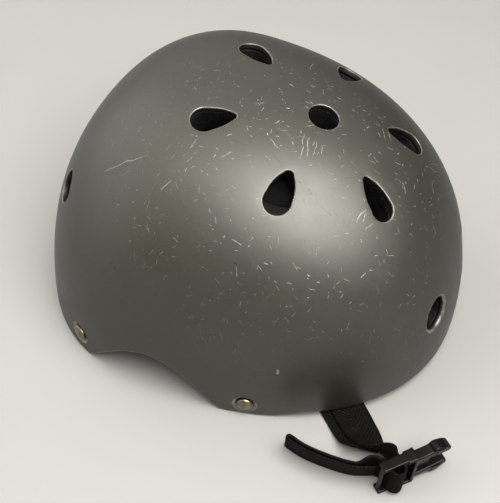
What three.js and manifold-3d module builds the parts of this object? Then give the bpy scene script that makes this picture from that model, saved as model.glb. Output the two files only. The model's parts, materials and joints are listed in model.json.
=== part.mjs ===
// A hard-shell helmet resting on its rim, with its chin strap and side-release buckle.
// Millimetres: +X is forward, +Y is the wearer's left, +Z is up, and the rim rests on z = 0.
// The pieces are built with the dome's middle plane at y = 0; the whole is then moved so that its
// origin lies at the bottom centre of its bounding box.
import * as THREE from "three";
import { mergeVertices } from "three/addons/utils/BufferGeometryUtils.js";
import Module from "manifold-3d";

const wasm = await Module();
wasm.setup();

const LEFT = 1;
const RIGHT = -1;
const UP = new THREE.Vector3(0, 0, 1);

// Outer dome: a superellipsoid whose highest point is forward of the middle.
const APEX_X = 27.7;
const FRONT_LENGTH = 97.8;
const REAR_LENGTH = 153.2;
const HALF_WIDTH = 113.6;
const DOME_RISE = 148.5;
const DOME_BASE_Z = -5.1;
const DOME_DEPTH_BELOW = 40;
const PLAN_POWER = 2.22;
const SIDE_POWER = 2.45;
const DOME_COLUMNS = 36;
const DOME_ROWS = 16;

// Layers, each measured inwards from the outer dome.
const SHELL_THICKNESS = 3.2;
const LINER_START = 3.8;
const LINER_END = 21.2;
const PATCH_START = 22.6;
const PATCH_END = 23.3;
const PAD_START = 23.9;
const PAD_END = 32;

// Rim: flat at the lobes, arched over the ears, slightly raised at the brow and the nape.
const ARCH_X = 22.5;
const ARCH_HALF_LENGTH = 43;
const ARCH_HEIGHT = 29.5;
const ARCH_POWER = 1.2;
const NAPE_RISE = 4.9;
const NAPE_START_X = -42;
const NAPE_END_X = -72;
const BROW_RISE = 4;
const BROW_START_X = 78;
const BROW_END_X = 125;
const LINER_EDGE_Z = 25;
const LINER_ARCH_HEIGHT = 10;

// Vents, given by the plan positions of the narrow and the wide end, the radii of the two ends,
// and how far the sides between them bulge.
const CROWN_VENT = { x: -28.5, y: 0, radius: 8.6 };
const VENT_PAIRS = [
  { name: "front", tip: [12.3, 23.6], end: [33.3, 36.2], wide: 7.6, narrow: 2, bulge: 1 },
  { name: "side", tip: [-26, 41], end: [-25.2, 63.2], wide: 7.4, narrow: 2.9, bulge: 1.1 },
  { name: "rear", tip: [-60.6, 20.4], end: [-79.4, 30.4], wide: 7, narrow: 2, bulge: 1.2 },
  { name: "brow", tip: [98.3, 54.6], end: [99.6, 65.4], wide: 8, narrow: 4, bulge: 1 },
  { name: "nape", tip: [-116.2, 23.7], end: [-118.5, 31.8], wide: 8.9, narrow: 7.9, bulge: 0.8 },
];
const VENT_DEPTH = 50;
const VENT_OUTSIDE = 12;

// Strap rivets, given by their place on the side of the dome.
const RIVETS = [
  { name: "front", x: 72.3, z: 13, tabDepth: 6.6 },
  { name: "rear", x: -34.3, z: 9.4, tabDepth: 5.3 },
];
const RIVET_HEAD_RADIUS = 4.8;
const RIVET_HEAD_HEIGHT = 2.2;
const RIVET_SHANK_RADIUS = 2;
const CLINCH_RADIUS = 3.4;
const DIMPLE_RADIUS = 6.6;
const DIMPLE_FLOOR_RADIUS = 5.2;
const DIMPLE_DEPTH = 1;
const HOLE_RADIUS = 2.3;
const HEAD_SEAT_DEPTH = 0.7;
const WASHER_BEHIND_TAB = 1.2;
const WASHER_THICKNESS = 1.2;
const WASHER_RADIUS = 5.4;
const CLINCH_BEHIND_TAB = 2.7;
const CLINCH_THICKNESS = 1.2;

// Webbing.
const WEB_WIDTH = 20;
const WEB_THICKNESS = 1.5;
const LOWER_LAYER_Z = 1.1;
const UPPER_LAYER_Z = 3.0;

// Male buckle: it stands on its side edge, with its prongs pointing rearwards and inwards.
const BUCKLE_SHOULDER = new THREE.Vector3(-131, 106, 0);
const BUCKLE_HEADING = (229 * Math.PI) / 180;
const BUCKLE_HEIGHT = 25;
const BUCKLE_BASE_Z = 0.4;
const RAIL_HEIGHT = 2;
const RAIL_DEPTH = 5;
const SHOULDER_LENGTH = 2.2;
const SHOULDER_DEPTH = 8.4;
const BAR_RADIUS = 1.3;
const INNER_BAR_AT = -3.6;
const LADDER_BAR_AT = -10;
const END_BAR_AT = -18;
const TONGUE_LENGTH = 13;
const TONGUE_HALF_HEIGHT = 3;
const TONGUE_HALF_DEPTH = 1.2;
const PRONG_LENGTH = 21.5;
const PRONG_DEPTH = 6.4;
const PRONG_GAP = 0.4;

// Female buckle: it lies flat inside the helmet.
const SOCKET_BAR = new THREE.Vector3(14, 26, 0);
const SOCKET_LENGTH = 33;
const SOCKET_WIDTH = 25;
const SOCKET_THICKNESS = 9;
const SOCKET_WALL = 1.4;
const SOCKET_LOOP = 2.5;
const SOCKET_BAR_TO_BODY = 5;
const WINDOW_FROM_BACK = 7;
const WINDOW_FROM_MOUTH = 8;
const WINDOW_HALF_HEIGHT = 2.5;
const EAR_THICKNESS = 2.2;
const EAR_HALF_HEIGHT = 2;
const socketMiddleZ = BUCKLE_BASE_Z + SOCKET_THICKNESS / 2;

// The bottom centre of the whole object's bounding box.
const BOX_BOTTOM_CENTRE = new THREE.Vector3(-11.9, 5.1, 0);

const root = new THREE.Group();

const shellPaint = { color: 0x63625a, roughness: 0.38, metalness: 0.55 };
const foamBlack = { color: 0x1d1d1f, roughness: 0.9, metalness: 0 };
const padCloth = { color: 0x26272a, roughness: 0.95, metalness: 0 };
const hookTape = { color: 0x111113, roughness: 0.95, metalness: 0 };
const agedBrass = { color: 0x9a8f6c, roughness: 0.35, metalness: 1 };
const zincPlate = { color: 0x8c8f92, roughness: 0.4, metalness: 1 };
const blackWebbing = { color: 0x131314, roughness: 0.8, metalness: 0 };
const blackPlastic = { color: 0x0f0f10, roughness: 0.35, metalness: 0 };

const vec = (x, y, z) => new THREE.Vector3(x, y, z);

const manifoldOf = (vertProperties, triVerts) =>
  new wasm.Manifold(new wasm.Mesh({ numProp: 3, vertProperties, triVerts }));

// The solid inside a closed geometry, whichever way round its faces are.
function solid(geometry) {
  const bare = geometry.clone();
  bare.deleteAttribute("normal");
  bare.deleteAttribute("uv");
  const merged = mergeVertices(bare, 1e-4);
  const vertices = merged.attributes.position.array;
  const triangles = new Uint32Array(merged.index.array);
  const made = manifoldOf(vertices, triangles);
  if (made.volume() > 0) return made;
  for (let i = 0; i < triangles.length; i += 3) {
    [triangles[i + 1], triangles[i + 2]] = [triangles[i + 2], triangles[i + 1]];
  }
  return manifoldOf(vertices, triangles);
}

function geometryOf(manifold) {
  const mesh = manifold.getMesh();
  const geometry = new THREE.BufferGeometry();
  geometry.setAttribute("position", new THREE.BufferAttribute(mesh.vertProperties, 3));
  geometry.setIndex(new THREE.BufferAttribute(mesh.triVerts, 1));
  geometry.computeVertexNormals();
  return geometry;
}

function addPiece(name, shape, look) {
  const mesh = new THREE.Mesh(geometryOf(shape), new THREE.MeshStandardMaterial(look));
  mesh.name = name;
  root.add(mesh);
}

// Moves every vertex of a geometry to place(vertex).
function reshape(geometry, place) {
  const position = geometry.attributes.position;
  const vertex = new THREE.Vector3();
  for (let i = 0; i < position.count; i++) {
    vertex.fromBufferAttribute(position, i);
    const moved = place(vertex);
    position.setXYZ(i, moved.x, moved.y, moved.z);
  }
  return geometry;
}

// ---- The dome's surface ----

const superRadius = (a, b, power) => (Math.abs(a) ** power + Math.abs(b) ** power) ** (-1 / power);
const halfLength = (x) => (x > 0 ? FRONT_LENGTH : REAR_LENGTH);

// The point at plan angle turn and height angle climb, on the dome shrunk by inset.
function domePoint(turn, climb, inset) {
  const forward = Math.cos(turn);
  const sideways = Math.sin(turn);
  const plan = superRadius(forward, sideways, PLAN_POWER);
  const side = superRadius(Math.cos(climb), Math.sin(climb), SIDE_POWER);
  const level = side * Math.cos(climb) * plan;
  const rise = climb > 0 ? DOME_RISE - inset : DOME_DEPTH_BELOW;
  return vec(
    APEX_X + (halfLength(forward) - inset) * level * forward,
    (HALF_WIDTH - inset) * level * sideways,
    DOME_BASE_Z + rise * side * Math.sin(climb),
  );
}

// 1 on the dome shrunk by inset, and more outside it.
function domeLevel(point, inset) {
  const x = (point.x - APEX_X) / (halfLength(point.x - APEX_X) - inset);
  const y = point.y / (HALF_WIDTH - inset);
  const z = (point.z - DOME_BASE_Z) / (DOME_RISE - inset);
  const plan = (Math.abs(x) ** PLAN_POWER + Math.abs(y) ** PLAN_POWER) ** (SIDE_POWER / PLAN_POWER);
  return plan + Math.abs(z) ** SIDE_POWER;
}

function domeNormal(point) {
  const step = 0.01;
  const slope = (axis) => {
    const ahead = point.clone().addScaledVector(axis, step);
    const behind = point.clone().addScaledVector(axis, -step);
    return domeLevel(ahead, 0) - domeLevel(behind, 0);
  };
  return vec(slope(vec(1, 0, 0)), slope(vec(0, 1, 0)), slope(UP)).normalize();
}

function domeAbove(x, y, inset) {
  const level = domeLevel(vec(x, y, DOME_BASE_Z), inset);
  const rise = (DOME_RISE - inset) * Math.max(0, 1 - level) ** (1 / SIDE_POWER);
  return vec(x, y, DOME_BASE_Z + rise);
}

function domeBeside(x, z, side) {
  const up = Math.abs((z - DOME_BASE_Z) / DOME_RISE) ** SIDE_POWER;
  const plan = (1 - up) ** (PLAN_POWER / SIDE_POWER);
  const along = Math.abs((x - APEX_X) / halfLength(x - APEX_X)) ** PLAN_POWER;
  return vec(x, side * HALF_WIDTH * (plan - along) ** (1 / PLAN_POWER), z);
}

function domeSolid(inset) {
  const ball = new THREE.SphereGeometry(1, DOME_COLUMNS, DOME_ROWS).rotateX(Math.PI / 2);
  const place = (v) => domePoint(Math.atan2(v.y, v.x), Math.asin(THREE.MathUtils.clamp(v.z, -1, 1)), inset);
  return solid(reshape(ball, place));
}

// ---- Rim ----

const ramp = (x, from, to) => THREE.MathUtils.smoothstep((x - from) / (to - from), 0, 1);

function archAt(x) {
  const across = (x - ARCH_X) / ARCH_HALF_LENGTH;
  return Math.abs(across) < 1 ? (1 - across * across) ** ARCH_POWER : 0;
}

function rimHeight(x) {
  const nape = NAPE_RISE * ramp(x, NAPE_START_X, NAPE_END_X);
  const brow = BROW_RISE * ramp(x, BROW_START_X, BROW_END_X);
  return ARCH_HEIGHT * archAt(x) + nape + brow;
}

const linerEdgeHeight = (x) => LINER_EDGE_Z + LINER_ARCH_HEIGHT * archAt(x);

// Everything below a height that depends on x alone.
function groundBelow(height) {
  const reach = 153;
  const steps = 51;
  const outline = new THREE.Shape();
  outline.moveTo(-reach, -100);
  outline.lineTo(reach, -100);
  for (let i = 0; i <= steps; i++) {
    const x = reach - (2 * reach * i) / steps;
    outline.lineTo(x, height(x));
  }
  const block = new THREE.ExtrudeGeometry(outline, { depth: 2 * reach, bevelEnabled: false });
  return solid(block.translate(0, 0, -reach).rotateX(Math.PI / 2));
}

// ---- Vents ----

// A slot whose narrow end is at -X and wide end at +X, centred on its length, with bulging sides.
function taperedSlot(length, wide, narrow, bulge) {
  const wideX = length / 2 - wide;
  const narrowX = narrow - length / 2;
  const touch = Math.acos((narrow - wide) / (wideX - narrowX));
  const [outX, outY] = [Math.cos(touch), Math.sin(touch)];
  const middleX = (wideX + narrowX + (wide + narrow) * outX) / 2 + 2 * bulge * outX;
  const middleY = ((wide + narrow) / 2 + 2 * bulge) * outY;
  const slot = new THREE.Shape();
  slot.absarc(wideX, 0, wide, -touch, touch, false);
  slot.quadraticCurveTo(middleX, middleY, narrowX + narrow * outX, narrow * outY);
  slot.absarc(narrowX, 0, narrow, touch, 2 * Math.PI - touch, false);
  slot.quadraticCurveTo(middleX, -middleY, wideX + wide * outX, -wide * outY);
  return slot;
}

function roundHole(radius) {
  const hole = new THREE.Shape();
  hole.absarc(0, 0, radius, 0, 2 * Math.PI, false);
  return hole;
}

// A prism through the dome, square to its surface at a point, with its X axis along heading.
function drill(outline, point, heading, curveSegments = 5) {
  const out = domeNormal(point);
  const along = heading.clone().addScaledVector(out, -heading.dot(out)).normalize();
  const across = out.clone().cross(along);
  const prism = new THREE.ExtrudeGeometry(outline, { depth: VENT_DEPTH, bevelEnabled: false, curveSegments });
  prism.translate(0, 0, VENT_OUTSIDE - VENT_DEPTH);
  prism.applyMatrix4(new THREE.Matrix4().makeBasis(along, across, out).setPosition(point));
  return solid(prism);
}

function ventDrills() {
  const crown = domeAbove(CROWN_VENT.x, CROWN_VENT.y, 0);
  const drills = [drill(roundHole(CROWN_VENT.radius), crown, vec(1, 0, 0), 8)];
  for (const vent of VENT_PAIRS) {
    for (const side of [LEFT, RIGHT]) {
      const tip = domeAbove(vent.tip[0], side * vent.tip[1], 0);
      const end = domeAbove(vent.end[0], side * vent.end[1], 0);
      const length = tip.distanceTo(end);
      const middleX = (vent.tip[0] + vent.end[0]) / 2;
      const middleY = (side * (vent.tip[1] + vent.end[1])) / 2;
      const heading = end.clone().sub(tip);
      const slot = taperedSlot(length, vent.wide, vent.narrow, vent.bulge);
      drills.push(drill(slot, domeAbove(middleX, middleY, 0), heading));
    }
  }
  return drills;
}

// ---- Rivets ----

function rivetPlaces() {
  const places = [];
  for (const side of [LEFT, RIGHT]) {
    for (const rivet of RIVETS) {
      const at = domeBeside(rivet.x, rivet.z, side);
      const out = domeNormal(at);
      const along = vec(1, 0, 0).addScaledVector(out, -out.x).normalize();
      const up = out.clone().cross(along).multiplyScalar(-side).normalize();
      const name = (side === LEFT ? "left_" : "right_") + rivet.name;
      const washerDepth = rivet.tabDepth + WASHER_BEHIND_TAB;
      const clinchDepth = rivet.tabDepth + CLINCH_BEHIND_TAB;
      places.push({ name, at, out, along, up, tabDepth: rivet.tabDepth, washerDepth, clinchDepth });
    }
  }
  return places;
}

// Turns a profile of radius and depth below the outer surface about the rivet's axis.
function turned(profile, place, segments) {
  const points = profile.map(([radius, depth]) => new THREE.Vector2(radius, -depth));
  const lathe = new THREE.LatheGeometry(points, segments);
  const turn = new THREE.Quaternion().setFromUnitVectors(vec(0, 1, 0), place.out);
  return solid(lathe.applyQuaternion(turn).translate(place.at.x, place.at.y, place.at.z));
}

function rivetShape(place) {
  const headTop = HEAD_SEAT_DEPTH - RIVET_HEAD_HEIGHT;
  const { clinchDepth } = place;
  const clinchEnd = clinchDepth + CLINCH_THICKNESS;
  const profile = [
    [0, clinchEnd],
    [CLINCH_RADIUS * 0.7, clinchEnd],
    [CLINCH_RADIUS, clinchDepth + CLINCH_THICKNESS / 2],
    [CLINCH_RADIUS, clinchDepth],
    [RIVET_SHANK_RADIUS, clinchDepth],
    [RIVET_SHANK_RADIUS, HEAD_SEAT_DEPTH],
    [RIVET_HEAD_RADIUS, HEAD_SEAT_DEPTH],
    [RIVET_HEAD_RADIUS * 0.96, HEAD_SEAT_DEPTH - RIVET_HEAD_HEIGHT * 0.4],
    [RIVET_HEAD_RADIUS * 0.75, HEAD_SEAT_DEPTH - RIVET_HEAD_HEIGHT * 0.78],
    [RIVET_HEAD_RADIUS * 0.4, headTop + 0.1],
    [0, headTop],
  ];
  return turned(profile, place, 16);
}

function washerShape(place) {
  const { washerDepth } = place;
  const washerEnd = washerDepth + WASHER_THICKNESS;
  const profile = [
    [HOLE_RADIUS, washerEnd],
    [WASHER_RADIUS, washerEnd],
    [WASHER_RADIUS, washerDepth],
    [HOLE_RADIUS, washerDepth],
    [HOLE_RADIUS, washerEnd],
  ];
  return turned(profile, place, 20);
}

function rivetHole(place) {
  const holeEnd = place.clinchDepth + CLINCH_THICKNESS;
  const profile = [
    [0, holeEnd],
    [HOLE_RADIUS, holeEnd],
    [HOLE_RADIUS, DIMPLE_DEPTH],
    [DIMPLE_FLOOR_RADIUS, DIMPLE_DEPTH],
    [DIMPLE_RADIUS, -0.6],
    [0, -0.6],
  ];
  return turned(profile, place, 16);
}

// ---- Shell, liner and pads ----

function makeShell(drills, holes) {
  let shell = domeSolid(0).subtract(domeSolid(SHELL_THICKNESS)).subtract(groundBelow(rimHeight));
  for (const cut of [...drills, ...holes]) shell = shell.subtract(cut);
  addPiece("outer_shell", shell, shellPaint);
}

function makeLiner(drills) {
  let liner = domeSolid(LINER_START).subtract(domeSolid(LINER_END)).subtract(groundBelow(linerEdgeHeight));
  for (const cut of drills) liner = liner.subtract(cut);
  addPiece("foam_liner", liner, foamBlack);
}

// A curved block between two insets, over a range of plan angles and height angles.
function wallBlock(turnMiddle, turnHalf, climbLow, climbHigh, insetOut, insetIn, steps) {
  const block = new THREE.BoxGeometry(1, 1, 1, steps, 4, 1);
  const place = (v) => {
    const inset = insetOut + (v.z + 0.5) * (insetIn - insetOut);
    const climb = climbLow + (v.y + 0.5) * (climbHigh - climbLow);
    return domePoint(turnMiddle + 2 * v.x * turnHalf, climb, inset);
  };
  return solid(reshape(block, place));
}

// A disc under the crown, between two insets.
function crownDisc(x, radius, insetOut, insetIn) {
  const disc = new THREE.CylinderGeometry(radius, radius, 1, 28, 1).rotateX(Math.PI / 2);
  const place = (v) => domeAbove(x + v.x, v.y, v.z > 0 ? insetOut : insetIn);
  return solid(reshape(disc, place));
}

function makePads() {
  const wallPads = [
    { name: "front", turn: 0, half: 0.62, low: 0.34, high: 0.62 },
    { name: "rear", turn: Math.PI, half: 0.46, low: 0.3, high: 0.6 },
    { name: "left_side", turn: 1.72, half: 0.3, low: 0.4, high: 0.68 },
    { name: "right_side", turn: -1.72, half: 0.3, low: 0.4, high: 0.68 },
  ];
  for (const pad of wallPads) {
    const { turn, half, low, high } = pad;
    const middle = (low + high) / 2;
    const cloth = wallBlock(turn, half, low, high, PAD_START, PAD_END, 10);
    const tape = wallBlock(turn, half * 0.5, middle - 0.06, middle + 0.06, PATCH_START, PATCH_END, 6);
    addPiece(pad.name + "_pad", cloth, padCloth);
    addPiece(pad.name + "_pad_hook_patch", tape, hookTape);
  }
  addPiece("crown_pad", crownDisc(-14, 40, PAD_START, PAD_END), padCloth);
  addPiece("crown_pad_hook_patch", crownDisc(2, 10, PATCH_START, PATCH_END), hookTape);
}

// ---- Webbing ----

// A flat ribbon through stations, each with a centre and the direction of the ribbon's width.
function ribbon(stations, segments, width = WEB_WIDTH) {
  const middle = new THREE.CatmullRomCurve3(stations.map((s) => s.at));
  const across = new THREE.CatmullRomCurve3(stations.map((s) => s.across));
  const strip = new THREE.BoxGeometry(1, width, WEB_THICKNESS, segments, 1, 1);
  const place = (v) => {
    const t = v.x + 0.5;
    const along = middle.getTangent(t);
    const wide = across.getPoint(t);
    wide.addScaledVector(along, -wide.dot(along)).normalize();
    const thick = along.clone().cross(wide);
    return middle.getPoint(t).addScaledVector(wide, v.y).addScaledVector(thick, v.z);
  };
  return solid(reshape(strip, place));
}

// A station flat on the ground, whose width is square to a plan heading in degrees.
function flatStation(x, y, z, headingDegrees) {
  const heading = THREE.MathUtils.degToRad(headingDegrees);
  return { at: vec(x, y, z), across: vec(-Math.sin(heading), Math.cos(heading), 0) };
}

const tabPoint = (place, rise) =>
  place.at.clone().addScaledVector(place.out, -place.tabDepth).addScaledVector(place.up, rise);

const tabStation = (place, rise) => ({ at: tabPoint(place, rise), across: place.along.clone() });

// The point where the left straps leave the helmet, bending on a line square to their heading.
const EXIT = vec(-91, 82.5, UPPER_LAYER_Z);
const EXIT_TURN = THREE.MathUtils.degToRad(136);
const exitAhead = vec(Math.cos(EXIT_TURN), Math.sin(EXIT_TURN), 0);
const BEND_GAP = 2.1;
const UNDER_BEND_GAP = 3.1;
const REAR_STRAP_OFFSET = 5;

// A station some distance past the exit, at a height, with the strap's outer edge rising.
const exitStation = (distance, z, edgeRise) => ({
  at: EXIT.clone().addScaledVector(exitAhead, distance).setZ(z),
  across: vec(exitAhead.y, -exitAhead.x, edgeRise).normalize(),
});

// The same station for the rear strap, which lies under the front one and stands out at its edge.
function underStation(distance, z, edgeRise) {
  const station = exitStation(distance, z, edgeRise);
  const down = exitAhead.clone().cross(station.across);
  if (down.z > 0) down.negate();
  const gap = UPPER_LAYER_Z - LOWER_LAYER_Z + 0.9 * edgeRise;
  station.at.addScaledVector(station.across, REAR_STRAP_OFFSET).addScaledVector(down, gap);
  return station;
}

// The stations of a strap end that hangs from a rivet and then turns inwards along the ground.
function hangingStations(place, groundZ) {
  const last = tabPoint(place, -WASHER_RADIUS - 0.4);
  const inward = place.out.clone().setZ(0).normalize().negate();
  const bend = last.clone().addScaledVector(inward, 2.2).setZ((last.z + 2 * groundZ) / 3);
  const floor = last.clone().addScaledVector(inward, 7).setZ(groundZ);
  const across = place.along.clone();
  return [
    { at: tabPoint(place, 8), across },
    { at: tabPoint(place, 0), across },
    { at: last, across },
    { at: bend, across },
    { at: floor, across },
  ];
}

function makeLeftStraps(places) {
  const [front, rear] = places;
  const top = UPPER_LAYER_Z;
  const low = LOWER_LAYER_Z;
  const frontStrap = ribbon(
    [
      ...hangingStations(front, top),
      flatStation(58, 80, top, 205),
      flatStation(40, 76, top, 183),
      flatStation(10, 74, top, 181),
      flatStation(-30, 71, top, 184),
      flatStation(-56, 66, top, 178),
      flatStation(-74, 68.5, top, 152),
      exitStation(-10, top, 0),
      exitStation(-BEND_GAP, top, 0),
    ],
    60,
  );
  const rearStrap = ribbon(
    [
      ...hangingStations(rear, low),
      flatStation(-44, 82, low, 225),
      flatStation(-58, 72, low, 200),
      flatStation(-76, 67.5, low, 160),
      underStation(-10, top, 0),
      underStation(-UNDER_BEND_GAP, top, 0),
    ],
    48,
  );
  const [frontHole, rearHole] = places.map(rivetHole);
  addPiece("left_front_strap", frontStrap.subtract(frontHole), blackWebbing);
  addPiece("left_rear_strap", rearStrap.subtract(rearHole), blackWebbing);
}

// A point in the male buckle's frame: forward along its prongs, out of its near face, and height.
const buckleForward = vec(Math.cos(BUCKLE_HEADING), Math.sin(BUCKLE_HEADING), 0);
const buckleNear = vec(buckleForward.y, -buckleForward.x, 0);
const buckleMiddleZ = BUCKLE_BASE_Z + BUCKLE_HEIGHT / 2;

function atBuckle(forward, near, height = buckleMiddleZ) {
  const point = BUCKLE_SHOULDER.clone();
  point.addScaledVector(buckleForward, forward).addScaledVector(buckleNear, near);
  return point.setZ(height);
}

const upright = (point, lean = 0) => ({ at: point, across: vec(lean, 0, 1) });
const TAIL_Z = 10.1;
// The tail stands on its edge and leans outwards.
const tailStation = (x, y) => ({ at: vec(x, y, TAIL_Z), across: vec(-0.12, 0.36, 1) });

function makeLeftChinStrap() {
  const legOut = 3.9;
  const bulge = 6;
  const rising = [[9, 4.2, 0.3], [19, 8, 0.95]];
  const strap = ribbon(
    [
      exitStation(BEND_GAP, UPPER_LAYER_Z, 0),
      ...rising.map((place) => exitStation(...place)),
      upright(atBuckle(LADDER_BAR_AT + legOut, -9, 11.6), -0.3),
      upright(atBuckle(LADDER_BAR_AT + legOut, -3)),
      upright(atBuckle(LADDER_BAR_AT + legOut - 0.4, 2)),
      upright(atBuckle(LADDER_BAR_AT, bulge)),
      upright(atBuckle(LADDER_BAR_AT - legOut + 0.4, 2)),
      upright(atBuckle(LADDER_BAR_AT - legOut, -3)),
      upright(atBuckle(LADDER_BAR_AT - legOut - 3.4, -8.4, 12.2)),
      tailStation(-104, 117.2),
      tailStation(-90, 119),
      tailStation(-75, 118.6),
      tailStation(-62, 115.3),
    ],
    96,
  );
  addPiece("left_chin_strap", strap, blackWebbing);
  const underStart = underStation(UNDER_BEND_GAP, UPPER_LAYER_Z, 0);
  const end = ribbon([underStart, ...rising.map((place) => underStation(...place))], 16);
  addPiece("left_rear_strap_end", end, blackWebbing);
}

// The right straps lie folded inwards; their swinging part starts on the line the tabs bend on.
const RIGHT_FOLD_Z = 3.0;

function makeRightStraps(places) {
  const [front, rear] = places;
  const { x, y: barY } = SOCKET_BAR;
  const across = vec(-1, 0, 0);
  const loop = [];
  for (let turn = -90; turn <= 90; turn += 45) {
    const angle = THREE.MathUtils.degToRad(turn);
    const at = vec(x, barY + SOCKET_LOOP * Math.cos(angle), socketMiddleZ + SOCKET_LOOP * Math.sin(angle));
    loop.push({ at, across });
  }
  const frontTab = ribbon([tabStation(front, 8), tabStation(front, -6.5)], 4);
  const rearTab = ribbon([tabStation(rear, 8), tabStation(rear, -5.4)], 4);
  const [frontHole, rearHole] = places.map(rivetHole);
  addPiece("right_front_strap_tab", frontTab.subtract(frontHole), blackWebbing);
  addPiece("right_rear_strap_tab", rearTab.subtract(rearHole), blackWebbing);
  const frontStrap = ribbon(
    [
      flatStation(69, -88.5, RIGHT_FOLD_Z, 100),
      flatStation(66, -78, RIGHT_FOLD_Z, 112),
      flatStation(44, -44, RIGHT_FOLD_Z, 122),
      flatStation(22, -12, RIGHT_FOLD_Z, 116),
      flatStation(14.5, 6, RIGHT_FOLD_Z, 92),
      flatStation(x, barY - 8, RIGHT_FOLD_Z - 0.1, 90),
      ...loop,
      { at: vec(x, barY - 8, socketMiddleZ + 0.3), across },
      { at: vec(x, barY - 16, socketMiddleZ + 0.1), across },
    ],
    84,
  );
  const rearStrap = ribbon(
    [
      flatStation(-34, -94, LOWER_LAYER_Z, 80),
      flatStation(-31, -84, LOWER_LAYER_Z, 68),
      flatStation(-12, -48, LOWER_LAYER_Z, 60),
      flatStation(8, -14, LOWER_LAYER_Z, 62),
      flatStation(13, -3, LOWER_LAYER_Z, 70),
    ],
    32,
  );
  addPiece("right_front_strap", frontStrap, blackWebbing);
  addPiece("right_rear_strap", rearStrap, blackWebbing);
}

// ---- Buckles ----

const JOIN_OVERLAP = 0.1;

function blockGeometry(low, high) {
  const size = [0, 1, 2].map((i) => high[i] - low[i]);
  const middle = [0, 1, 2].map((i) => (high[i] + low[i]) / 2);
  return new THREE.BoxGeometry(...size).translate(...middle);
}

// A block in the male buckle's frame, from low to high along forward, near and height.
function buckleBlock(low, high) {
  const frame = new THREE.Matrix4().makeBasis(buckleForward, buckleNear, UP).setPosition(BUCKLE_SHOULDER);
  return solid(blockGeometry(low, high).applyMatrix4(frame));
}

function buckleBar(forward) {
  const height = BUCKLE_HEIGHT - RAIL_HEIGHT;
  const bar = new THREE.CylinderGeometry(BAR_RADIUS, BAR_RADIUS, height, 16).rotateX(Math.PI / 2);
  const at = atBuckle(forward, 0);
  return solid(bar.translate(at.x, at.y, at.z));
}

function buckleRail(z) {
  const half = RAIL_DEPTH / 2;
  return buckleBlock([END_BAR_AT - BAR_RADIUS, -half, z], [JOIN_OVERLAP, half, z + RAIL_HEIGHT]);
}

function makeMaleBuckle() {
  const top = BUCKLE_BASE_Z + BUCKLE_HEIGHT;
  const shoulderHalf = SHOULDER_DEPTH / 2;
  const shoulder = buckleBlock([0, -shoulderHalf, BUCKLE_BASE_Z], [SHOULDER_LENGTH, shoulderHalf, top]);
  const tongue = buckleBlock(
    [SHOULDER_LENGTH - JOIN_OVERLAP, -TONGUE_HALF_DEPTH, buckleMiddleZ - TONGUE_HALF_HEIGHT],
    [TONGUE_LENGTH, TONGUE_HALF_DEPTH, buckleMiddleZ + TONGUE_HALF_HEIGHT],
  );
  let frame = buckleRail(BUCKLE_BASE_Z).add(buckleRail(top - RAIL_HEIGHT)).add(shoulder).add(tongue);
  for (const forward of [INNER_BAR_AT, LADDER_BAR_AT, END_BAR_AT]) {
    frame = frame.add(buckleBar(forward));
  }
  addPiece("male_buckle_frame", frame, blackPlastic);
  const start = SHOULDER_LENGTH + PRONG_GAP;
  const outline = new THREE.Shape();
  outline.moveTo(start, 6.6);
  outline.lineTo(start, 9.9);
  outline.quadraticCurveTo(start + 6, 9.6, start + 9.5, 10.4);
  outline.lineTo(start + 10.5, 12.4);
  outline.quadraticCurveTo(start + 16, 13, start + PRONG_LENGTH, 8.2);
  outline.quadraticCurveTo(start + PRONG_LENGTH + 0.6, 5.8, start + PRONG_LENGTH - 2, 5);
  outline.quadraticCurveTo(start + 10, 5.9, start, 6.6);
  for (const [name, side] of [["upper", 1], ["lower", -1]]) {
    const settings = { depth: PRONG_DEPTH, bevelEnabled: false, curveSegments: 8 };
    const prong = new THREE.ExtrudeGeometry(outline, settings).translate(0, 0, -PRONG_DEPTH / 2);
    const place = (v) => atBuckle(v.x, v.z, buckleMiddleZ + side * v.y);
    addPiece("male_buckle_" + name + "_prong", solid(reshape(prong, place)), blackPlastic);
  }
}

const socketBlock = (low, high) => solid(blockGeometry(low, high));

// A hollow body open at its mouth, a window in each side for a prong, and a strap bar on two ears.
function makeSocket() {
  const { x, y } = SOCKET_BAR;
  const half = SOCKET_WIDTH / 2;
  const halfHeight = SOCKET_THICKNESS / 2;
  const back = y + SOCKET_BAR_TO_BODY;
  const mouth = y + SOCKET_LENGTH;
  const wall = SOCKET_WALL;
  const middle = socketMiddleZ;
  const outside = socketBlock([x - half, back, middle - halfHeight], [x + half, mouth, middle + halfHeight]);
  const inside = socketBlock(
    [x - half + wall, back + wall, middle - halfHeight + wall],
    [x + half - wall, mouth + 1, middle + halfHeight - wall],
  );
  const window = socketBlock(
    [x - half - 1, back + WINDOW_FROM_BACK, middle - WINDOW_HALF_HEIGHT],
    [x + half + 1, mouth - WINDOW_FROM_MOUTH, middle + WINDOW_HALF_HEIGHT],
  );
  let body = outside.subtract(inside).subtract(window);
  for (const earX of [x - half, x + half - EAR_THICKNESS]) {
    const low = [earX, y - BAR_RADIUS, middle - EAR_HALF_HEIGHT];
    const high = [earX + EAR_THICKNESS, back + wall / 2, middle + EAR_HALF_HEIGHT];
    body = body.add(socketBlock(low, high));
  }
  const bar = new THREE.CylinderGeometry(BAR_RADIUS, BAR_RADIUS, SOCKET_WIDTH - 1, 16).rotateZ(Math.PI / 2);
  body = body.add(solid(bar.translate(x, y, middle)));
  addPiece("female_buckle_socket", body, blackPlastic);
}

const drills = ventDrills();
const places = rivetPlaces();
const holes = places.map(rivetHole);

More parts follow.
